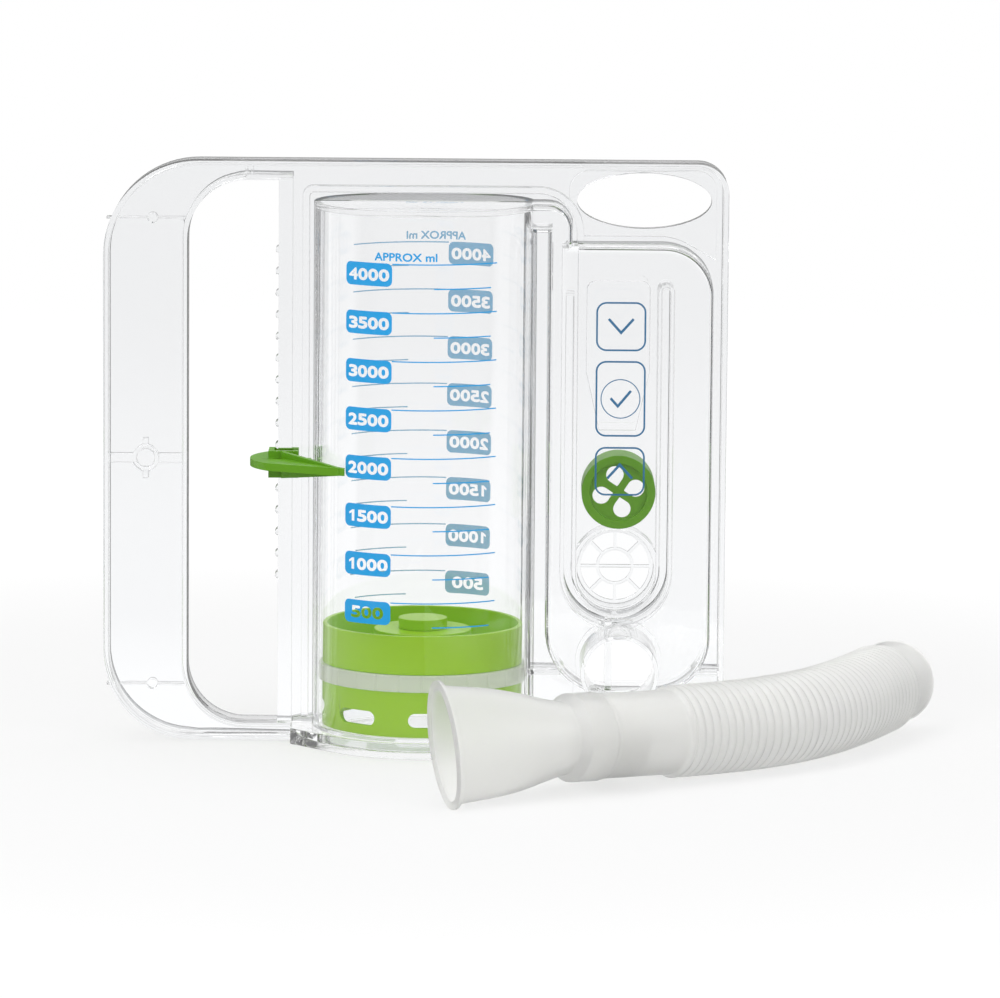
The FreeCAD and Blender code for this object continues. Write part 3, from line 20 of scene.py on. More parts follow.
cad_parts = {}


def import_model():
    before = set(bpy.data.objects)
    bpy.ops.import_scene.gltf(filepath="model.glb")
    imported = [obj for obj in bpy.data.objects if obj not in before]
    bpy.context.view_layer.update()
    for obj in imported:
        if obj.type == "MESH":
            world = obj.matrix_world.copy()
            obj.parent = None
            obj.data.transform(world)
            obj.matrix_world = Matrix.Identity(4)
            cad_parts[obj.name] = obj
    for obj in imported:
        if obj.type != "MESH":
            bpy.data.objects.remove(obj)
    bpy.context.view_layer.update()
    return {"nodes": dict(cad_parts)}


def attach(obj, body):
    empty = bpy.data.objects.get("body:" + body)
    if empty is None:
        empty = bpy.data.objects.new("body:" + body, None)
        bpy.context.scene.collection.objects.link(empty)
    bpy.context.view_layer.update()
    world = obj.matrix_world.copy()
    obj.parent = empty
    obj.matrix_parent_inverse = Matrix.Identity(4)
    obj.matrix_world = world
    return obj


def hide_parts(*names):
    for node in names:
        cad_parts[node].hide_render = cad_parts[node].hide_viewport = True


LOG = logging.getLogger("spirometer")
MM = 0.001
TINY = 1e-9

Colour = tuple[float, float, float]
Point = tuple[float, float, float]
Span = tuple[float, float]


# Meshes worked out as whole arrays


def closed_surface(name: str, grid: np.ndarray) -> Mesh:
    """Turn a grid of points into quads, closed along both directions.

    Args:
        name: Name of the mesh.
        grid: Points, shaped (rows, columns, 3).

    Returns:
        The mesh, smooth shaded.
    """
    rows, columns = grid.shape[:2]
    index = np.pad(np.arange(rows * columns).reshape(rows, columns), (0, 1), mode="wrap")
    quads = np.stack([index[1:, :-1], index[1:, 1:], index[:-1, 1:], index[:-1, :-1]], axis=-1)
    mesh = bpy.data.meshes.new(name)
    mesh.from_pydata(grid.reshape(-1, 3).tolist(), [], quads.reshape(-1, 4).tolist())
    mesh.polygons.foreach_set("use_smooth", np.ones(len(mesh.polygons), dtype=bool))
    mesh.update()
    return mesh


def round_corners(left: float, right: float, low: float, high: float, radius: float,
                  points: int) -> np.ndarray:
    """Outline of a rectangle with round corners: a quarter circle round each corner's centre.

    Args:
        left, right, low, high: Its edges.
        radius: Radius of the corners.
        points: Points in each corner.

    Returns:
        Points, shaped (4 * points, 2).
    """
    quarter = np.linspace(0.0, math.pi / 2, points)
    centres = ((right - radius, high - radius), (left + radius, high - radius),
               (left + radius, low + radius), (right - radius, low + radius))
    arcs = []
    for place, (across, up) in enumerate(centres):
        turn = quarter + math.pi / 2 * place
        arcs.append(np.stack([across + radius * np.cos(turn), up + radius * np.sin(turn)], 1))
    return np.concatenate(arcs)


def add_object(name: str, data: ID) -> Object:
    """Put a mesh, curve, lamp or camera in the scene as an object at the origin."""
    thing = bpy.data.objects.new(name, data)
    bpy.context.scene.collection.objects.link(thing)
    return thing


def add_piece(name: str, mesh: Mesh, material: Material) -> Object:
    """Put a mesh in the scene with one material all over."""
    mesh.materials.clear()
    mesh.materials.append(material)
    return add_object(name, mesh)


def evaluated(thing: Object) -> Mesh:
    """Take an object away and keep the mesh that its curve or modifiers give."""
    graph = bpy.context.evaluated_depsgraph_get()
    mesh = bpy.data.meshes.new_from_object(thing.evaluated_get(graph))
    bpy.data.objects.remove(thing)
    return mesh


@dataclass(frozen=True)
class Moulding:
    """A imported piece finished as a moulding: its edges rounded and its curved walls smooth."""

    node: str
    body: str
    finish: str
    slot: str
    edge: float = 0.28 * MM
    cut: bool = False
    gap: float = 0.015 * MM
    merge: float = 0.001 * MM
    flat: float = 0.5
    sharp: float = 30.0
    rounds: int = 2

    def merged(self, source: Object) -> Mesh:
        """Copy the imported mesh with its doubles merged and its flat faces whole, or cut to even triangles."""
        work = bmesh.new()
        work.from_mesh(source.data)
        bmesh.ops.remove_doubles(work, verts=work.verts, dist=self.merge)
        bmesh.ops.dissolve_limit(work, angle_limit=math.radians(self.flat), verts=work.verts,
                                 edges=work.edges)
        if self.cut:
            bmesh.ops.triangulate(work, faces=work.faces, quad_method="BEAUTY", ngon_method="BEAUTY")
        mesh = bpy.data.meshes.new(self.node)
        work.to_mesh(mesh)
        work.free()
        mesh.polygons.foreach_set("use_smooth", np.ones(len(mesh.polygons), dtype=bool))
        return mesh

    def build(self, source: Object, material: Material) -> Object:
        """Round the edges, then draw every point in along its normal by the gap between fitted pieces.

        Args:
            source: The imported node.
            material: Its finish.

        Returns:
            The finished moulding.
        """
        rough = add_object("unfinished", self.merged(source))
        bevel = rough.modifiers.new("edge", "BEVEL")
        bevel.width = self.edge
        bevel.segments = self.rounds
        bevel.limit_method = "ANGLE"
        bevel.angle_limit = math.radians(self.sharp)
        bevel.use_clamp_overlap = False
        rough.modifiers.new("normals", "WEIGHTED_NORMAL").keep_sharp = True
        mesh = evaluated(rough)
        outward = np.empty(len(mesh.vertices) * 3, dtype=np.float32)
        mesh.vertex_normals.foreach_get("vector", outward)
        store_vertices(mesh, vertices_of(mesh) - outward.reshape(-1, 3) * self.gap)
        return add_piece("moulded_" + self.node, mesh, material)


# Shader nodes


@dataclass
class Board:
    """Short ways to place shader nodes; those that work out a value return its socket."""

    tree: NodeTree

    def put(self, kind: str) -> Node:
        """Place a node."""
        return self.tree.nodes.new(kind)

    def feed(self, value: NodeSocket | float, socket: NodeSocket) -> None:
        """Give a socket a link or a plain number."""
        if isinstance(value, NodeSocket):
            self.tree.links.new(value, socket)
        else:
            socket.default_value = value

    def math(self, operation: str, *values: NodeSocket | float) -> NodeSocket:
        """One arithmetic step."""
        node = self.put("ShaderNodeMath")
        node.operation = operation
        for value, socket in zip(values, node.inputs):
            self.feed(value, socket)
        return node.outputs[0]

    def remap(self, value: NodeSocket, start: Span, end: Span, shape: str = "SMOOTHSTEP") -> NodeSocket:
        """Map one range onto another, clamped.

        Args:
            value: The number to map.
            start: Its range.
            end: What the two ends become.
            shape: How it goes from one end to the other.

        Returns:
            The mapped number.
        """
        node = self.put("ShaderNodeMapRange")
        node.interpolation_type = shape
        for label, number in zip(("From Min", "From Max", "To Min", "To Max"), (*start, *end)):
            node.inputs[label].default_value = number
        self.feed(value, node.inputs["Value"])
        return node.outputs["Result"]

    def blend(self, factor: NodeSocket, first: NodeSocket | float, second: NodeSocket | float) -> NodeSocket:
        """The first number where the factor is 0, the second where it is 1."""
        gap = self.math("SUBTRACT", second, first)
        return self.math("MULTIPLY_ADD", factor, gap, first)

    def parts(self, source: str) -> list[NodeSocket]:
        """The three components of a texture coordinate."""
        split = self.put("ShaderNodeSeparateXYZ")
        self.feed(self.put("ShaderNodeTexCoord").outputs[source], split.inputs[0])
        return list(split.outputs)

    def noise(self, vector: NodeSocket, scale: NodeSocket | float, detail: float,
              distortion: float = 0.0) -> NodeSocket:
        """A noise over a vector."""
        node = self.put("ShaderNodeTexNoise")
        self.feed(vector, node.inputs["Vector"])
        for label, value in (("Scale", scale), ("Detail", detail), ("Distortion", distortion)):
            self.feed(value, node.inputs[label])
        return node.outputs["Fac"]

    def bump(self, height: NodeSocket, strength: float, depth: float, surface: Node) -> None:
        """Give a surface shader relief, on top of the relief it has.

        Args:
            height: The pattern.
            strength: How much of it shows.
            depth: Its depth in metres.
            surface: The surface shader.
        """
        node = self.put("ShaderNodeBump")
        node.inputs["Strength"].default_value = strength
        node.inputs["Distance"].default_value = depth
        self.feed(height, node.inputs["Height"])
        for link in surface.inputs["Normal"].links:
            self.feed(link.from_socket, node.inputs["Normal"])
        self.feed(node.outputs["Normal"], surface.inputs["Normal"])

    def mix(self, factor: NodeSocket, first: Node, second: Node) -> None:
        """Send two shaders to the material's output: the first where the factor is 0, else the second."""
        mixed = self.put("ShaderNodeMixShader")
        self.feed(factor, mixed.inputs["Fac"])
        self.feed(first.outputs[0], mixed.inputs[1])
        self.feed(second.outputs[0], mixed.inputs[2])
        self.feed(mixed.outputs["Shader"], self.tree.nodes["Material Output"].inputs["Surface"])

    def clear_where(self, factor: NodeSocket, surface: Node, shade: float) -> None:
        """Let light go straight through a surface shader.

        Args:
            factor: 1 where it does, 0 where it doesn't.
            surface: The surface shader.
            shade: The share of the light that goes on.
        """
        clear = self.put("ShaderNodeBsdfTransparent")
        clear.inputs["Color"].default_value = (shade, shade, shade, 1.0)
        self.mix(factor, surface, clear)


# Node groups: patterns that several finishes share


class Group(Enum):
    """Names of the shared node groups."""

    GRAIN = "moulded_grain"
    HANDLING = "handling_marks"
    FLOW = "flow_lines"


def new_group(kind: Group, number: str, output: str) -> tuple[Board, Node, NodeSocket]:
    """Start a node group with a vector and a number going in and a number coming out.

    Args:
        kind: Which group.
        number: Label of the number going in.
        output: Label of the number coming out.

    Returns:
        The group's board, its input node and the socket for its result.
    """
    tree = bpy.data.node_groups.new(kind.value, "ShaderNodeTree")
    tree.interface.new_socket("Vector", in_out="INPUT", socket_type="NodeSocketVector")
    tree.interface.new_socket(number, in_out="INPUT", socket_type="NodeSocketFloat")
    tree.interface.new_socket(output, in_out="OUTPUT", socket_type="NodeSocketFloat")
    return Board(tree), tree.nodes.new("NodeGroupInput"), tree.nodes.new("NodeGroupOutput").inputs[output]


@dataclass(frozen=True)
class Grain:
    """Fine uneven skin of a moulding: two noises added, the finer one weaker."""

    fine_detail: float = 3.0
    fine_share: float = 0.35
    coarse_scale: float = 45.0
    coarse_detail: float = 2.0

    def build(self) -> NodeTree:
        """Make the group."""
        board, start, end = new_group(Group.GRAIN, "Scale", "Height")
        fine = board.noise(start.outputs["Vector"], start.outputs["Scale"], self.fine_detail)
        coarse = board.noise(start.outputs["Vector"], self.coarse_scale, self.coarse_detail)
        board.feed(board.math("MULTIPLY_ADD", fine, self.fine_share, coarse), end)
        return board.tree


@dataclass(frozen=True)
class Handling:
    """Faint scuffs: a stretched noise cut to thin bright streaks."""

    turn: Point = (0.3, 0.5, 0.2)
    stretch: Point = (60.0, 60.0, 900.0)
    detail: float = 4.0
    cut: Span = (0.62, 0.74)

    def build(self) -> NodeTree:
        """Make the group."""
        board, start, end = new_group(Group.HANDLING, "Amount", "Mask")
        stretched = board.put("ShaderNodeMapping")
        stretched.inputs["Rotation"].default_value = self.turn
        stretched.inputs["Scale"].default_value = self.stretch
        board.feed(start.outputs["Vector"], stretched.inputs["Vector"])
        streak = board.noise(stretched.outputs["Vector"], 1.0, self.detail)
        mask = board.remap(streak, self.cut, (0.0, 1.0), "LINEAR")
        board.feed(board.math("MULTIPLY", mask, start.outputs["Amount"]), end)
        return board.tree


@dataclass(frozen=True)
class Flow:
    """Slow ripples that melt leaves in a large clear sheet."""

    detail: float = 1.0
    distortion: float = 0.6

    def build(self) -> NodeTree:
        """Make the group."""
        board, start, end = new_group(Group.FLOW, "Scale", "Height")
        board.feed(board.noise(start.outputs["Vector"], start.outputs["Scale"], self.detail,
                               self.distortion), end)
        return board.tree


@dataclass
class PatternShop:
    """Builds each shared node group once and places it in materials."""

    groups: dict[Group, NodeTree] = field(init=False)

    def __post_init__(self) -> None:
        """Build all groups."""
        self.groups = {Group.GRAIN: Grain().build(), Group.HANDLING: Handling().build(),
                       Group.FLOW: Flow().build()}

    def place(self, tree: NodeTree, kind: Group, **values: float) -> Node:
        """Put a group in a material, fed by object coordinates.

        Args:
            tree: Node tree of the material.
            kind: Which group.
            values: Values for its number inputs.

        Returns:
            The group node.
        """
        node = tree.nodes.new("ShaderNodeGroup")
        node.node_tree = self.groups[kind]
        place = tree.nodes.new("ShaderNodeTexCoord")
        tree.links.new(place.outputs["Object"], node.inputs["Vector"])
        for label, value in values.items():
            node.inputs[label].default_value = value
        return node


# Finishes


@dataclass(frozen=True)
class Finish:
    """What all finishes hold: a name and the values of the surface shader."""

    name: str
    colour: Colour
    roughness: float = 0.3
    grain: float = 0.05
    grain_scale: float = 900.0
    scuffs: float = 0.0
    skin_depth: float = 0.2 * MM

    def shader(self, patterns: PatternShop) -> tuple[Material, Node]:
        """Start the material: colour, roughness with scuffs, and a fine moulded skin.

        Args:
            patterns: The shared node groups.

        Returns:
            The material and its surface shader.
        """
        material = bpy.data.materials.new(self.name)
        material.use_nodes = True
        tree = material.node_tree
        board = Board(tree)
        surface = tree.nodes["Principled BSDF"]
        surface.inputs["Base Color"].default_value = (*self.colour, 1.0)
        surface.inputs["Roughness"].default_value = self.roughness
        if self.scuffs:
            marks = patterns.place(tree, Group.HANDLING, Amount=self.scuffs)
            rough = board.math("ADD", marks.outputs["Mask"], self.roughness)
            board.feed(rough, surface.inputs["Roughness"])
        skin = patterns.place(tree, Group.GRAIN, Scale=self.grain_scale)
        board.bump(skin.outputs["Height"], self.grain, self.skin_depth, surface)
        return material, surface

    def build(self, patterns: PatternShop) -> Material:
        """Make the material."""
        return self.shader(patterns)[0]


@dataclass(frozen=True)
class ClearPlastic(Finish):
    """Clear polystyrene: refracts, and lets light through to what stands behind it."""

    refraction: float = 1.46
    shade: float = 0.93
    deepest: float = 7.5
    flow: float = 0.12
    flow_scale: float = 26.0
    flow_depth: float = 1.0 * MM

    def build(self, patterns: PatternShop) -> Material:
        """Make the material; its shadow stays faint, and light caught between its walls goes straight on."""
        material, surface = self.shader(patterns)
        board = Board(material.node_tree)
        surface.inputs["IOR"].default_value = self.refraction
        surface.inputs["Transmission Weight"].default_value = 1.0
        melt = patterns.place(board.tree, Group.FLOW, Scale=self.flow_scale)
        board.bump(melt.outputs["Height"], self.flow, self.flow_depth, surface)
        path = board.put("ShaderNodeLightPath").outputs
        straight = board.math("MAXIMUM", path["Is Shadow Ray"], path["Is Diffuse Ray"])
        spent = board.math("GREATER_THAN", path["Ray Depth"], self.deepest)
        board.clear_where(board.math("MAXIMUM", straight, spent), surface, self.shade)
        return material


@dataclass(frozen=True)
class MilkyPlastic(Finish):
    """Unpigmented soft plastic: part of the light goes in and scatters."""

    through: float = 0.35
    scatter: float = 0.4
    shade: float = 0.75
    refraction: float = 1.5
    radius: Colour = (1.0, 1.0, 0.95)
    depth: float = 2.0 * MM

    def build(self, patterns: PatternShop) -> Material:
        """Make the material; its shadow stays light."""
        material, surface = self.shader(patterns)
        board = Board(material.node_tree)
        surface.inputs["IOR"].default_value = self.refraction
        surface.inputs["Transmission Weight"].default_value = self.through
        surface.inputs["Subsurface Weight"].default_value = self.scatter
        surface.inputs["Subsurface Radius"].default_value = self.radius
        surface.inputs["Subsurface Scale"].default_value = self.depth
        path = board.put("ShaderNodeLightPath").outputs
        board.clear_where(path["Is Shadow Ray"], surface, self.shade)
        return material


@dataclass(frozen=True)
class LimePlastic(Finish):
    """Opaque green moulding with a little glow under its skin."""

    scatter: float = 0.12
    radius: Colour = (0.6, 1.0, 0.1)
    depth: float = 1.0 * MM

    def build(self, patterns: PatternShop) -> Material:
        """Make the material."""
        material, surface = self.shader(patterns)
        surface.inputs["Subsurface Weight"].default_value = self.scatter
        surface.inputs["Subsurface Radius"].default_value = self.radius
        surface.inputs["Subsurface Scale"].default_value = self.depth
        return material


@dataclass(frozen=True)
class Ink(Finish):
    """Thin printed film that what lies behind it shows through a little."""

    cover: float = 0.88

    def build(self, patterns: PatternShop) -> Material:
        """Make the material."""
        material, surface = self.shader(patterns)
        surface.inputs["Alpha"].default_value = self.cover
        return material


@dataclass(frozen=True)
class Finishes:
    """All finishes of the part."""

    shell: ClearPlastic = ClearPlastic("clear_shell", (0.972, 0.976, 0.981), roughness=0.012, grain=0.012,
                                       grain_scale=500.0, scuffs=0.02)
    base: ClearPlastic = ClearPlastic("clear_base", (0.98, 0.985, 0.988), roughness=0.03, grain=0.02,
                                      grain_scale=500.0, scuffs=0.03)
    # Both green finishes are one plastic in two colours: the first is painted lighter, as the lit cup looks,
    # and the second is a darker copy with painted shade, as the float and pointer look.
    lime: LimePlastic = LimePlastic("lime_plastic", (0.36, 0.67, 0.005), roughness=0.34, grain=0.12,
                                    grain_scale=1400.0, scuffs=0.1)
    deep_lime: LimePlastic = LimePlastic("shaded_lime_plastic", (0.13, 0.37, 0.003), roughness=0.4, grain=0.12,
                                         grain_scale=1400.0, scuffs=0.1)
    seal: MilkyPlastic = MilkyPlastic("natural_seal", (0.90, 0.98, 0.80), roughness=0.35, scatter=0.25)
    milky: MilkyPlastic = MilkyPlastic("milky_plastic", (0.955, 0.955, 0.94), roughness=0.36, grain=0.08,
                                       grain_scale=700.0, scuffs=0.05, through=0.72, scatter=0.25)
    ink: Ink = Ink("printed_ink", (0.008, 0.42, 0.9), roughness=0.4, grain=0.06, grain_scale=2500.0)
    # The rear scale's ink is painted lighter than the front ink: painted light standing in for the lamp light
    # its unlit back side doesn't get.
    rear_ink: Ink = Ink("rear_ink", (0.22, 0.66, 0.98), roughness=0.4, grain=0.06, grain_scale=2500.0,
                        cover=0.6)
    outline_ink: Ink = Ink("outline_ink", (0.04, 0.19, 0.38), roughness=0.4, grain=0.06, grain_scale=2500.0)


# Flat print: outlines in a plane, cut by their own figures


@dataclass
class Print:
    """Flat artwork in a plane: closed outlines whose inner outlines are holes."""

    name: str
    curve: Curve = field(init=False)
    digit_gap: float = 0.16
    one: tuple[Span, ...] = ((0.42, -0.03), (0.76, -0.03), (0.76, 1.03), (0.5, 1.03), (0.1, 0.8), (0.1, 0.6),
                             (0.42, 0.74))
    smoothness: int = 6
    corner_points: int = 9
    ring_points: int = 48
    closest: float = 1e-5

    def __post_init__(self) -> None:
        """Start an empty flat curve."""
        self.curve = bpy.data.curves.new(self.name, "CURVE")
        self.curve.dimensions = "2D"
        self.curve.fill_mode = "BOTH"
        self.curve.resolution_u = self.smoothness

    def outline(self, points: np.ndarray) -> None:
        """Add a closed outline of straight runs.

        Args:
            points: Corners, shaped (count, 2), in metres.
        """
        spline = self.curve.splines.new("POLY")
        spline.points.add(len(points) - 1)
        flat = np.concatenate([points, np.zeros((len(points), 1)), np.ones((len(points), 1))], axis=1)
        spline.points.foreach_set("co", flat.astype(np.float32).ravel())
        spline.use_cyclic_u = True

    def round_box(self, left: float, right: float, low: float, high: float, radius: float) -> None:
        """Add a rectangle with round corners."""
        self.outline(round_corners(left, right, low, high, radius, self.corner_points))

    def frame(self, left: float, right: float, low: float, high: float, radius: float, line: float) -> None:
        """Add the border of a round box: the box and a smaller one inside it."""
        self.round_box(left, right, low, high, radius)
        self.round_box(left + line, right - line, low + line, high - line, radius - line)

    def ring(self, x: float, y: float, radius: float, line: float) -> None:
        """Add a circle's line: two circles round one centre."""
        turn = np.linspace(0.0, 2 * math.pi, self.ring_points, endpoint=False)
        circle = np.stack([np.cos(turn), np.sin(turn)], 1)
        self.outline(circle * radius + (x, y))
        self.outline(circle * (radius - line) + (x, y))

    def stroke(self, path: list[Span], line: float) -> None:
        """Add an open line of even width: each corner moved to both sides along its mitre."""
        points = np.array(path)
        run = np.diff(points, axis=0)
        run /= np.linalg.norm(run, axis=1, keepdims=True)
        side = np.stack([-run[:, 1], run[:, 0]], 1)
        mitre = np.concatenate([side[:1], side[:-1] + side[1:], side[-1:]])
        mitre[1:-1] /= 1 + np.sum(side[:-1] * side[1:], axis=1, keepdims=True)
        self.outline(np.concatenate([points + mitre * line / 2, (points - mitre * line / 2)[::-1]]))

    def figures(self, text: str, left: float, right: float, low: float, high: float, weight: float) -> None:
        """Add figures, stretched to fill a box.

        Args:
            text: What they say.
            left, right, low, high: Edges of the box.
            weight: How far their outlines swell, as a share of their height.
        """
        data = bpy.data.curves.new("figures", "FONT")
        data.body = text
        writer = add_object("figures", data)
        graph = bpy.context.evaluated_depsgraph_get()
        glyphs = writer.evaluated_get(graph).to_curve(graph)
        shapes = [self.bezier_points(spline) for spline in glyphs.splines]
        everything = np.concatenate(shapes)
        lowest, highest = everything.min(axis=0), everything.max(axis=0)
        scale = np.array([right - left, high - low]) / (highest - lowest)
        for shape in shapes:
            place = (shape - lowest) * scale + (left, low)
            self.outline(swell(place, weight * (high - low)))
        bpy.data.objects.remove(writer)
        bpy.data.curves.remove(data)

    def number(self, text: str, left: float, right: float, low: float, high: float, weight: float) -> None:
        """Add a number with evenly wide digits; a one has a stem and a flag.

        Args:
            text: Its digits.
            left, right, low, high: Edges of the box that it fills.
            weight: How far their outlines swell, as a share of their height.
        """
        cell = (right - left) / (len(text) - self.digit_gap)
        wide = cell * (1 - self.digit_gap)
        for place, digit in enumerate(text):
            start = left + place * cell
            if digit == "1":
                one = np.array(self.one) * (wide, high - low)
                self.outline(one + (start, low))
            else:
                self.figures(digit, start, start + wide, low, high, weight)

    def bezier_points(self, spline: Spline) -> np.ndarray:
        """Points along a closed Bezier outline: the cubic formula for all its runs at once."""
        count = len(spline.bezier_points)
        knots, left, right = (np.empty(count * 3, dtype=np.float32) for _ in range(3))
        spline.bezier_points.foreach_get("co", knots)
        spline.bezier_points.foreach_get("handle_left", left)
        spline.bezier_points.foreach_get("handle_right", right)
        knots, left, right = (values.reshape(-1, 1, 3)[..., :2].astype(float)
                              for values in (knots, left, right))
        along = np.linspace(0.0, 1.0, self.smoothness, endpoint=False).reshape(1, -1, 1)
        back = 1 - along
        ends, before = np.roll(knots, -1, axis=0), np.roll(left, -1, axis=0)
        curve = back**3 * knots + 3 * back**2 * along * right + 3 * back * along**2 * before + along**3 * ends
        points = curve.reshape(-1, 2)
        return points[np.linalg.norm(points - np.roll(points, 1, axis=0), axis=1) > self.closest]

    def sheet(self, thickness: float) -> Mesh:
        """Fill the outlines and give them a thickness.

        Args:
            thickness: Film thickness in metres.

        Returns:
            The mesh, flat in its own XY plane.
        """
        self.curve.extrude = thickness / 2
        mesh = evaluated(add_object(self.name, self.curve))
        mesh.name = self.name
        return mesh


def swell(points: np.ndarray, distance: float) -> np.ndarray:
    """Move a closed outline along its corner normals, outwards for an outer one and inwards for a hole."""
    run = np.roll(points, -1, axis=0) - points
    run /= np.maximum(np.linalg.norm(run, axis=1, keepdims=True), TINY)
    side = np.stack([run[:, 1], -run[:, 0]], 1)
    normal = side + np.roll(side, 1, axis=0)
    normal /= np.maximum(np.linalg.norm(normal, axis=1, keepdims=True), TINY)
    return points + normal * distance


def vertices_of(mesh: Mesh) -> np.ndarray:
    """The vertices of a mesh as an array, shaped (count, 3)."""
    flat = np.empty(len(mesh.vertices) * 3, dtype=np.float32)
    mesh.vertices.foreach_get("co", flat)
    return flat.reshape(-1, 3).astype(float)


def store_vertices(mesh: Mesh, points: np.ndarray) -> None:
    """Put vertices back into a mesh."""
    mesh.vertices.foreach_set("co", points.astype(np.float32).ravel())
    mesh.update()


def slice_upright(mesh: Mesh, low: float, high: float, step: float) -> None:
    """Cut a flat mesh along upright lines, so that it can bend round a cylinder."""
    work = bmesh.new()
    work.from_mesh(mesh)
    for across in np.arange(low, high, step):
        everything = work.verts[:] + work.edges[:] + work.faces[:]
        bmesh.ops.bisect_plane(work, geom=everything, plane_co=(float(across), 0, 0), plane_no=(1, 0, 0))
    work.to_mesh(mesh)
    work.free()


@dataclass
class MeasuringScale:
    """Volume scale printed round the tube: boxes with their figures cut out, lines and ticks."""

    radius: float = 38.5 * MM
    volumes: tuple[int, ...] = tuple(range(4000, 0, -500))
    digits: int = 4
    top_line: float = 171.0 * MM
    pitch: float = 16.71 * MM
    box_left: float = -26.7 * MM
    box_right: float = -10.9 * MM
    box_height: float = 8.0 * MM
    box_corner: float = 2.0 * MM
    figures_left: float = 1.6 * MM
    figures_right: float = 1.3 * MM
    figures_foot: float = 6.0 * MM
    figures_top: float = 2.3 * MM
    figures_short: float = 1.55 * MM
    figures_weight: float = 0.07
    line_gap: float = 0.02 * MM
    line_end: float = 24.8 * MM
    line_width: float = 0.42 * MM
    line_corner: float = 0.1 * MM
    tick_start: float = 3.4 * MM
    tick_end: float = 22.8 * MM
    unit_left: float = -16.9 * MM
    unit_right: float = 4.4 * MM
    unit_foot: float = 0.9 * MM
    unit_top: float = 3.6 * MM
    unit_weight: float = 0.04
    film: float = 0.03 * MM
    proud: float = 0.05 * MM
    reach: float = 36.0 * MM
    slice_width: float = 1.0 * MM

    def round_tube(self, across: float) -> float:
        """Length round the tube that shows at a distance across."""
        return self.radius * math.asin(across / self.radius)

    def artwork(self) -> Print:
        """Lay out the boxes, figures, lines and ticks, with lengths round the tube across the sheet.

        Returns:
            The flat print.
        """
        art = Print("measuring_scale")
        left, right = self.round_tube(self.box_left), self.round_tube(self.box_right)
        for step, volume in enumerate(self.volumes):
            line = self.top_line - step * self.pitch
            art.round_box(left, right, line - self.box_height, line, self.box_corner)
            label = str(volume)
            short = (self.digits - len(label)) * self.figures_short
            art.number(label, left + self.figures_left + short, right - self.figures_right - short,
                       line - self.figures_foot, line - self.figures_top, self.figures_weight)
            art.round_box(right + self.line_gap, self.round_tube(self.line_end), line - self.line_width, line,
                          self.line_corner)
            tick = line - self.pitch / 2
            art.round_box(self.round_tube(self.tick_start), self.round_tube(self.tick_end),
                          tick - self.line_width, tick, self.line_corner)
        art.figures("APPROX ml", self.round_tube(self.unit_left), self.round_tube(self.unit_right),
                    self.top_line + self.unit_foot, self.top_line + self.unit_top, self.unit_weight)
        return art

    def build(self, name: str, turn: float, material: Material) -> Object:
        """Wrap the print round the tube: across becomes an angle, thickness becomes radius.

        Args:
            name: Name of the piece.
            turn: Degrees round the tube from the front.
            material: The ink.

        Returns:
            The printed scale.
        """
        mesh = self.artwork().sheet(self.film)
        slice_upright(mesh, -self.reach, self.reach, self.slice_width)
        flat = vertices_of(mesh)
        out = self.radius + self.proud + flat[:, 2]
        angle = flat[:, 0] / self.radius + math.radians(turn)
        store_vertices(mesh, np.stack([out * np.sin(angle), -out * np.cos(angle), flat[:, 1]], 1))
        return add_piece(name, mesh, material)


@dataclass(frozen=True)
class Sign:
    """One sign, in millimetres: foot and top of its border, the line drawn in it, the height of its ring."""

    low: float
    high: float
    path: tuple[Span, ...]
    ring: float | None = None


SIGNS = (
    Sign(135.0, 152.1, ((-4.3, 146.2), (0.0, 141.4), (4.3, 146.2))),
    Sign(105.2, 131.6, ((-3.4, 118.6), (-0.9, 115.8), (3.6, 121.2)), 118.4),
    Sign(84.6, 101.6, ((-4.3, 90.6), (0.0, 95.4), (4.3, 90.6))),
)


@dataclass
class PrintedSigns:
    """Line drawings over the float track: arrow down, tick in a ring, arrow up."""

    face: float = -11.05 * MM
    left: float = 59.2 * MM
    lift: float = 3.4 * MM
    width: float = 17.3 * MM
    border: float = 0.62 * MM
    corner: float = 3.6 * MM
    ring_radius: float = 6.9 * MM
    ring_line: float = 0.35 * MM
    line: float = 0.9 * MM
    film: float = 0.03 * MM

    def artwork(self) -> Print:
        """Lay out the bordered signs.

        Returns:
            The flat print.
        """
        art = Print("printed_signs")
        middle = self.left + self.width / 2
        right = self.left + self.width
        for sign in SIGNS:
            art.frame(self.left, right, sign.low * MM, sign.high * MM, self.corner, self.border)
            if sign.ring is not None:
                art.ring(middle, sign.ring * MM, self.ring_radius, self.ring_line)
            art.stroke([(middle + across * MM, up * MM) for across, up in sign.path], self.line)
        return art

    def build(self, material: Material) -> Object:
        """Stand the print upright on the face of the duct.

        Args:
            material: The ink.

        Returns:
            The printed signs.
        """
        mesh = self.artwork().sheet(self.film)
        flat = vertices_of(mesh)
        store_vertices(mesh, np.stack([flat[:, 0], self.face - flat[:, 2], flat[:, 1] + self.lift], 1))
        return add_piece("printed_signs", mesh, material)


# Piston ring and hose


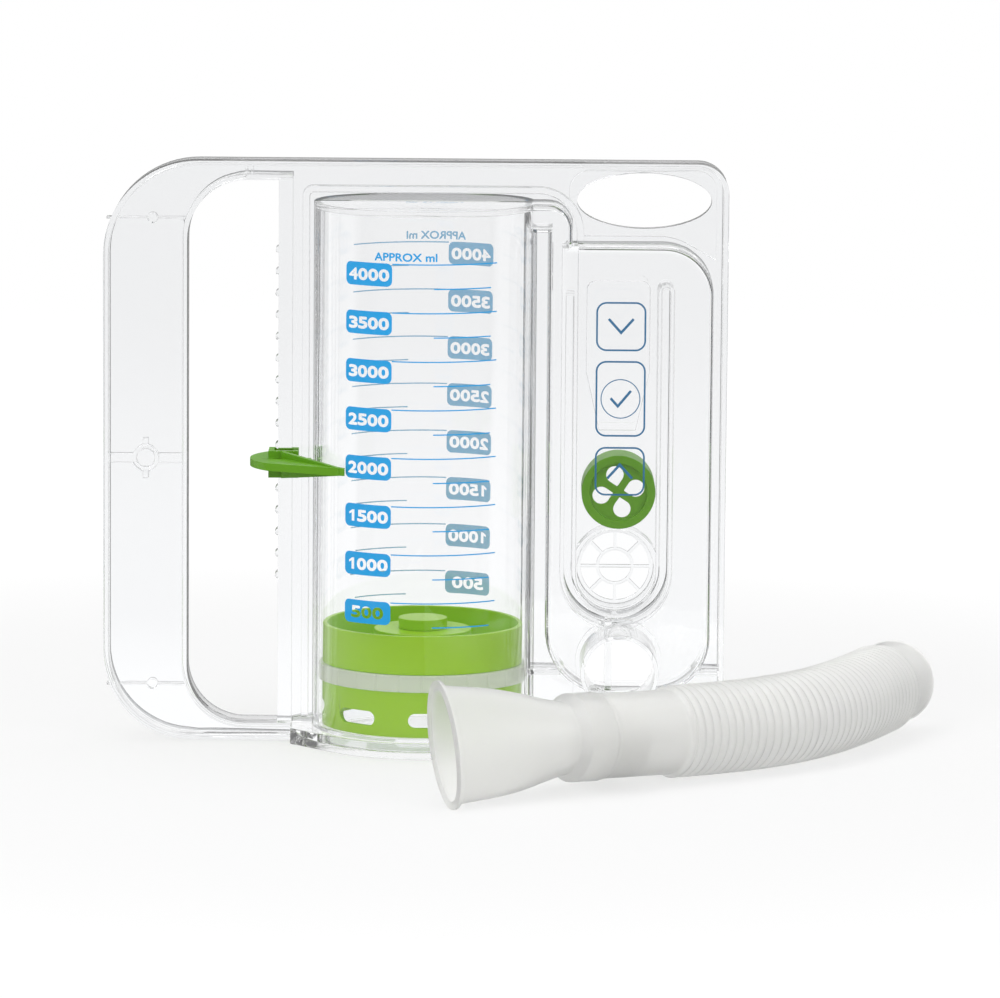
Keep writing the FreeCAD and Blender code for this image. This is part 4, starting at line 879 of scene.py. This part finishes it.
@dataclass(frozen=True)
class SealRing:
    """Ring that guides the piston in the tube, with narrow upright grooves outside."""

    inner: float = 33.05 * MM
    outer: float = 36.08 * MM
    low: float = 22.42 * MM
    high: float = 28.28 * MM
    corner: float = 0.5 * MM
    corner_points: int = 5
    pads: int = 28
    groove_depth: float = 0.45 * MM
    groove_width: float = 0.35 * MM
    steps: int = 24

    def build(self, material: Material) -> Object:
        """Turn a round-cornered section about the axis; grooves move the outside in by a bell curve.

        Args:
            material: The ring's plastic.

        Returns:
            The ring.
        """
        section = round_corners(self.inner, self.outer, self.low, self.high, self.corner, self.corner_points)
        pitch = 2 * math.pi / self.pads
        turn = np.linspace(0.0, 2 * math.pi, self.pads * self.steps, endpoint=False)
        off = (np.mod(turn + pitch / 2, pitch) - pitch / 2) * self.outer
        groove = self.groove_depth * np.exp(-((off / self.groove_width) ** 2))
        outside = section[:, 0] > (self.inner + self.outer) / 2
        radius = section[None, :, 0] - groove[:, None] * outside[None, :]
        grid = np.stack([radius * np.cos(turn)[:, None], radius * np.sin(turn)[:, None],
                         np.broadcast_to(section[None, :, 1], radius.shape)], 2)
        return add_piece("guide_ring", closed_surface("guide_ring", grid), material)


def route_line(points: tuple[Point, ...], order: int, steps: int) -> np.ndarray:
    """Points along a smooth spline.

    Args:
        points: Its control points, in millimetres.
        order: Its order.
        steps: Points for each of its runs.

    Returns:
        Points, shaped (count, 3), in metres.
    """
    curve = bpy.data.curves.new("route", "CURVE")
    curve.dimensions = "3D"
    spline = curve.splines.new("NURBS")
    spline.points.add(len(points) - 1)
    for point, spot in zip(spline.points, points):
        point.co = (*(MM * value for value in spot), 1.0)
    spline.order_u = order
    spline.use_endpoint_u = True
    curve.resolution_u = steps
    return vertices_of(evaluated(add_object("route", curve)))


@dataclass
class Sweep:
    """Round sections carried along a line: centre plus radius times (side cosine plus up sine)."""

    line: np.ndarray

    def frames(self, along: np.ndarray) -> tuple[np.ndarray, np.ndarray, np.ndarray]:
        """Centres, side and up directions at lengths along the line.

        Args:
            along: Lengths from the start, in metres.

        Returns:
            Three arrays, shaped (count, 3).
        """
        steps = np.linalg.norm(np.diff(self.line, axis=0), axis=1)
        reach = np.concatenate([[0.0], np.cumsum(steps)])
        centre = np.stack([np.interp(along, reach, self.line[:, axis]) for axis in range(3)], 1)
        slope = np.gradient(self.line, reach, axis=0)
        ahead = np.stack([np.interp(along, reach, slope[:, axis]) for axis in range(3)], 1)
        ahead /= np.linalg.norm(ahead, axis=1, keepdims=True)
        side = np.cross(ahead, (0.0, 0.0, 1.0))
        side /= np.linalg.norm(side, axis=1, keepdims=True)
        return centre, side, np.cross(side, ahead)

    @property
    def length(self) -> float:
        """Length of the line."""
        return float(np.linalg.norm(np.diff(self.line, axis=0), axis=1).sum())

    def skin(self, along: np.ndarray, radius: np.ndarray, around: int) -> np.ndarray:
        """Grid of points of a tube whose radius changes along the line.

        Args:
            along: Lengths from the start.
            radius: Radius at each of them.
            around: Points in each ring.

        Returns:
            Points, shaped (count, around, 3).
        """
        centre, side, up = self.frames(along)
        turn = np.linspace(0.0, 2 * math.pi, around, endpoint=False)
        spoke = side[:, None] * np.cos(turn)[None, :, None] + up[:, None] * np.sin(turn)[None, :, None]
        return centre[:, None] + radius[:, None, None] * spoke


@dataclass
class BreathingHose:
    """Corrugated hose with a smooth cuff at each end, as one closed wall."""

    route: tuple[Point, ...] = ((58.6, -93.2, 18.0), (98.0, -66.5, 15.85), (128.0, -43.0, 15.85),
                                (150.0, -9.0, 15.85), (167.0, 35.0, 15.85))
    route_order: int = 3
    route_steps: int = 48
    cuff_radius: float = 15.0 * MM
    bore_radius: float = 13.5 * MM
    bore_room: float = 1.2 * MM
    crest_radius: float = 15.75 * MM
    valley_radius: float = 14.85 * MM
    crest_power: float = 0.6
    neck: float = 0.6 * MM
    wall: float = 0.9 * MM
    pitch: float = 3.2 * MM
    near_cuff: float = 29.8 * MM
    far_cuff: float = 16.0 * MM
    outer_fade: float = 1.5 * MM
    inner_fade: float = 2.0 * MM
    rim_height: float = 0.35 * MM
    rim_place: float = 0.8 * MM
    rim_width: float = 0.7 * MM
    step: float = 0.36 * MM
    around: int = 84

    def ribbed_part(self, along: np.ndarray, length: float, fade: float) -> np.ndarray:
        """1 between the cuffs, 0 in them, with a straight ramp at each end."""
        start, stop = self.near_cuff, length - self.far_cuff
        return np.clip((along - start) / fade, 0, 1) * np.clip((stop - along) / fade, 0, 1)

    def outer_radius(self, along: np.ndarray, length: float) -> np.ndarray:
        """Cuffs joined to a wave: crests broad, valleys narrow, both fading into the cuffs."""
        phase = (along - self.near_cuff) / self.pitch * 2 * math.pi
        wave = (0.5 - 0.5 * np.cos(phase)) ** self.crest_power
        ribbed = self.valley_radius + (self.crest_radius - self.valley_radius) * wave
        inside = self.ribbed_part(along, length, self.outer_fade)
        inside = inside * inside * (3 - 2 * inside)
        rim = self.rim_height * np.exp(-(((along - self.rim_place) / self.rim_width) ** 2))
        rim += self.rim_height * np.exp(-(((along - length + self.rim_place) / self.rim_width) ** 2))
        return (self.cuff_radius - self.neck + rim) * (1 - inside) + ribbed * inside

    def inner_radius(self, along: np.ndarray, length: float) -> np.ndarray:
        """The bore in the cuffs, and the outer wave less the wall between them."""
        inside = self.ribbed_part(along, length, self.inner_fade)
        wavy = np.minimum(self.outer_radius(along, length) - self.wall, self.bore_radius + self.bore_room)
        return self.bore_radius * (1 - inside) + wavy * inside

    def build(self, material: Material) -> Object:
        """Carry the profile out along the line, over the end and back inside.

        Args:
            material: The milky plastic.

        Returns:
            The hose.
        """
        sweep = Sweep(route_line(self.route, self.route_order, self.route_steps))
        length = sweep.length
        out = np.linspace(0.0, length, int(length / self.step))
        back = out[::-1]
        along = np.concatenate([out, back])
        radius = np.concatenate([self.outer_radius(out, length), self.inner_radius(back, length)])
        mesh = closed_surface("hose", sweep.skin(along, radius, self.around))
        return add_piece("breathing_hose", mesh, material)


# Studio


@dataclass(frozen=True)
class PhotoCamera:
    """Camera of the photograph: the tube's foot falls on its pixel at the photograph's scale."""

    focal_px: float = 6800.0
    width_px: int = 1000
    height_px: int = 998
    pitch: float = 8.2
    roll: float = 0.45
    metres_per_px: float = 0.35 * MM
    anchor_px: Span = (422.5, 738.5)
    sensor_mm: float = 36.0
    farthest: float = 50.0

    def build(self) -> None:
        """Place the camera."""
        pitch, roll = math.radians(self.pitch), math.radians(self.roll)
        ahead = Vector((0.0, math.cos(pitch), -math.sin(pitch)))
        level = Vector((1.0, 0.0, 0.0))
        upright = level.cross(ahead)
        right = level * math.cos(roll) + upright * math.sin(roll)
        up = upright * math.cos(roll) - level * math.sin(roll)
        across = (self.anchor_px[0] - self.width_px / 2) / self.focal_px
        down = (self.anchor_px[1] - self.height_px / 2) / self.focal_px
        place = -(ahead + right * across - up * down) * self.focal_px * self.metres_per_px
        data = bpy.data.cameras.new("camera")
        data.sensor_width = self.sensor_mm
        data.lens = self.sensor_mm * self.focal_px / self.width_px
        data.clip_end = self.farthest
        camera = add_object("camera", data)
        turn = Matrix((right, up, -ahead)).transposed().to_4x4()
        camera.matrix_world = Matrix.Translation(place) @ turn
        bpy.context.scene.camera = camera


@dataclass(frozen=True)
class Lamp:
    """Soft rectangular lamp: its place, what it points at, its width and height, its power in watts."""

    name: str
    place: Point
    aim: Point
    size: Span
    power: float

    def build(self) -> None:
        """Hang the lamp."""
        data = bpy.data.lights.new(self.name, "AREA")
        data.shape = "RECTANGLE"
        data.size, data.size_y = self.size
        data.energy = self.power
        lamp = add_object(self.name, data)
        lamp.location = self.place
        lamp.rotation_mode = "QUATERNION"
        lamp.rotation_quaternion = (Vector(self.aim) - Vector(self.place)).to_track_quat("-Z", "Y")


@dataclass(frozen=True)
class Surround:
    """World: white to the eye, duller to the sides, overhead and in front for light bent by plastic."""

    side: float = 0.4
    side_span: Span = (0.6, 0.95)
    overhead: float = 0.8
    overhead_span: Span = (0.08, 0.55)
    front: float = 0.35
    front_span: Span = (-0.3, 0.1)
    mirrored: Span = (0.2, 1.1)
    mirrored_span: Span = (0.0, 0.8)
    ambient: float = 0.62

    def build(self) -> None:
        """Make the world; mirrored light sees it brighter upwards, scattered light sees it even."""
        world = bpy.data.worlds.new("studio")
        bpy.context.scene.world = world
        world.use_nodes = True
        board = Board(world.node_tree)
        background = world.node_tree.nodes["Background"]
        background.inputs["Color"].default_value = (1.0, 1.0, 1.0, 1.0)
        across, away, up = board.parts("Generated")
        sideways = board.remap(board.math("ABSOLUTE", across), self.side_span, (1.0, self.side))
        overhead = board.remap(up, self.overhead_span, (1.0, self.overhead))
        behind = board.remap(away, self.front_span, (self.front, 1.0))
        bent = board.math("MULTIPLY", board.math("MULTIPLY", sideways, overhead), behind)
        path = board.put("ShaderNodeLightPath").outputs
        strength = board.blend(path["Is Transmission Ray"],
                               board.remap(up, self.mirrored_span, self.mirrored), bent)
        strength = board.blend(path["Is Diffuse Ray"], strength, self.ambient)
        strength = board.blend(path["Is Camera Ray"], strength, 1.0)
        board.feed(strength, background.inputs["Strength"])


@dataclass(frozen=True)
class StudioFloor:
    """A wide floor, white to the eye, that keeps a faint shadow near the object."""

    half: float = 3.0
    drop: float = 0.05 * MM
    grey: float = 0.8
    glow: float = 1.08
    glow_span: Span = (0.3, 1.4)
    front: float = 0.35
    front_span: Span = (-0.3, -0.08)
    share: float = 0.5
    share_span: Span = (0.22, 0.6)
    mirrored: float = 0.2
    bounce: float = 1.0
    bounce_share: float = 0.75

    def material(self) -> Material:
        """A matt floor mixed with a glow: how much of each, and how bright, depends on who looks."""
        material = bpy.data.materials.new("studio_floor")
        material.use_nodes = True
        board = Board(material.node_tree)
        board.tree.nodes.remove(board.tree.nodes["Principled BSDF"])
        matt = board.put("ShaderNodeBsdfDiffuse")
        matt.inputs["Color"].default_value = (self.grey, self.grey, self.grey, 1.0)
        glow = board.put("ShaderNodeEmission")
        across, away, _ = board.parts("Object")
        far = board.math("SQRT", board.math("ADD", board.math("MULTIPLY", across, across),
                                            board.math("MULTIPLY", away, away)))
        path = board.put("ShaderNodeLightPath").outputs
        seen, bent, scattered = (path[f"Is {kind} Ray"] for kind in ("Camera", "Transmission", "Diffuse"))
        lit = board.remap(far, self.glow_span, (self.glow, 1.0))
        behind = board.math("MAXIMUM", board.remap(away, self.front_span, (self.front, 1.0)), seen)
        unseen = board.blend(scattered, self.mirrored, self.bounce)
        strength = board.blend(board.math("MAXIMUM", seen, bent), unseen, board.math("MULTIPLY", lit, behind))
        board.feed(strength, glow.inputs["Strength"])
        share = board.math("MULTIPLY", seen, board.remap(far, self.share_span, (self.share, 1.0)))
        for other in (bent, board.math("MULTIPLY", scattered, self.bounce_share), path["Is Glossy Ray"]):
            share = board.math("MAXIMUM", share, other)
        board.mix(share, matt, glow)
        return material

    def build(self) -> None:
        """Lay the floor just under the object."""
        mesh = bpy.data.meshes.new("floor")
        corners = [(-self.half, -self.half, 0), (self.half, -self.half, 0), (self.half, self.half, 0),
                   (-self.half, self.half, 0)]
        mesh.from_pydata(corners, [], [(0, 1, 2, 3)])
        store_vertices(mesh, vertices_of(mesh) - (0.0, 0.0, self.drop))
        add_piece("studio_floor", mesh, self.material())


@dataclass
class Studio:
    """Floor, lamps, world and camera, and how far light is followed."""

    lamps: tuple[Lamp, ...] = (
        Lamp("key", (-0.9, -1.1, 1.5), (0.02, 0.0, 0.08), (0.9, 0.9), 10.0),
        Lamp("fill", (1.3, -1.0, 0.9), (0.02, 0.0, 0.08), (0.9, 0.9), 5.0),
        Lamp("top", (0.0, 0.2, 1.7), (0.02, 0.0, 0.05), (1.4, 1.0), 7.0),
    )
    bounces: int = 32
    bent_bounces: int = 28
    mirrored_bounces: int = 10
    clear_bounces: int = 40

    def build(self) -> None:
        """Set up the floor, the lamps, the world and the camera."""
        StudioFloor().build()
        for lamp in self.lamps:
            lamp.build()
        Surround().build()
        PhotoCamera().build()
        scene = bpy.context.scene
        scene.view_settings.view_transform = "Standard"
        scene.cycles.max_bounces = self.bounces
        scene.cycles.transmission_bounces = self.bent_bounces
        scene.cycles.glossy_bounces = self.mirrored_bounces
        scene.cycles.transparent_max_bounces = self.clear_bounces


FRONT_TURN = 0.0
REAR_TURN = 185.0

MOULDINGS = (
    Moulding("front_shell", "housing", "shell", "clear_shell", 0.12 * MM, True),
    Moulding("rear_shell", "housing", "shell", "clear_shell", 0.12 * MM, True),
    Moulding("base_cap", "housing", "base", "clear_base"),
    Moulding("inlet_grille", "housing", "base", "clear_base", 0.18 * MM, True),
    Moulding("piston_cup", "piston", "lime", "lime_plastic"),
    Moulding("piston_skirt", "piston", "lime", "lime_plastic", 0.16 * MM),
    Moulding("valve_button", "piston", "lime", "lime_plastic"),
    # The float and the pointer take the darker copy of the green plastic, with painted shade.
    Moulding("flow_float", "float", "deep_lime", "lime_plastic"),
    Moulding("pointer", "pointer", "deep_lime", "lime_plastic", 0.08 * MM),
    Moulding("mouthpiece", "mouthpiece", "milky", "milky_plastic"),
)


def main() -> None:
    """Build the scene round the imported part."""
    logging.basicConfig(level=logging.INFO, format="%(name)s: %(message)s")
    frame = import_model()
    patterns = PatternShop()
    finishes = Finishes()
    materials = {entry.name: getattr(finishes, entry.name).build(patterns) for entry in fields(finishes)}
    for moulding in MOULDINGS:
        piece = moulding.build(frame["nodes"][moulding.node], materials[moulding.finish])
        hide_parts(moulding.node)
        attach(piece, moulding.body)
        LOG.info("%s: %d faces", piece.name, len(piece.data.polygons))
    ring = SealRing().build(materials["seal"])
    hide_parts("piston_seal")
    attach(ring, "piston")
    LOG.info("%s: %d faces", ring.name, len(ring.data.polygons))
    scale = MeasuringScale()
    printed = scale.build("front_scale", FRONT_TURN, materials["ink"])
    rear_print = scale.build("rear_scale", REAR_TURN, materials["rear_ink"])
    signs = PrintedSigns().build(materials["outline_ink"])
    hose = BreathingHose().build(materials["milky"])
    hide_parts("hose")
    for piece, slot in ((printed, "clear_shell"), (rear_print, "clear_shell"), (signs, "clear_shell"),
                        (hose, "milky_plastic")):
        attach(piece, "housing")
        LOG.info("%s: %d faces", piece.name, len(piece.data.polygons))
    Studio().build()


if __name__ == "__main__":
    main()
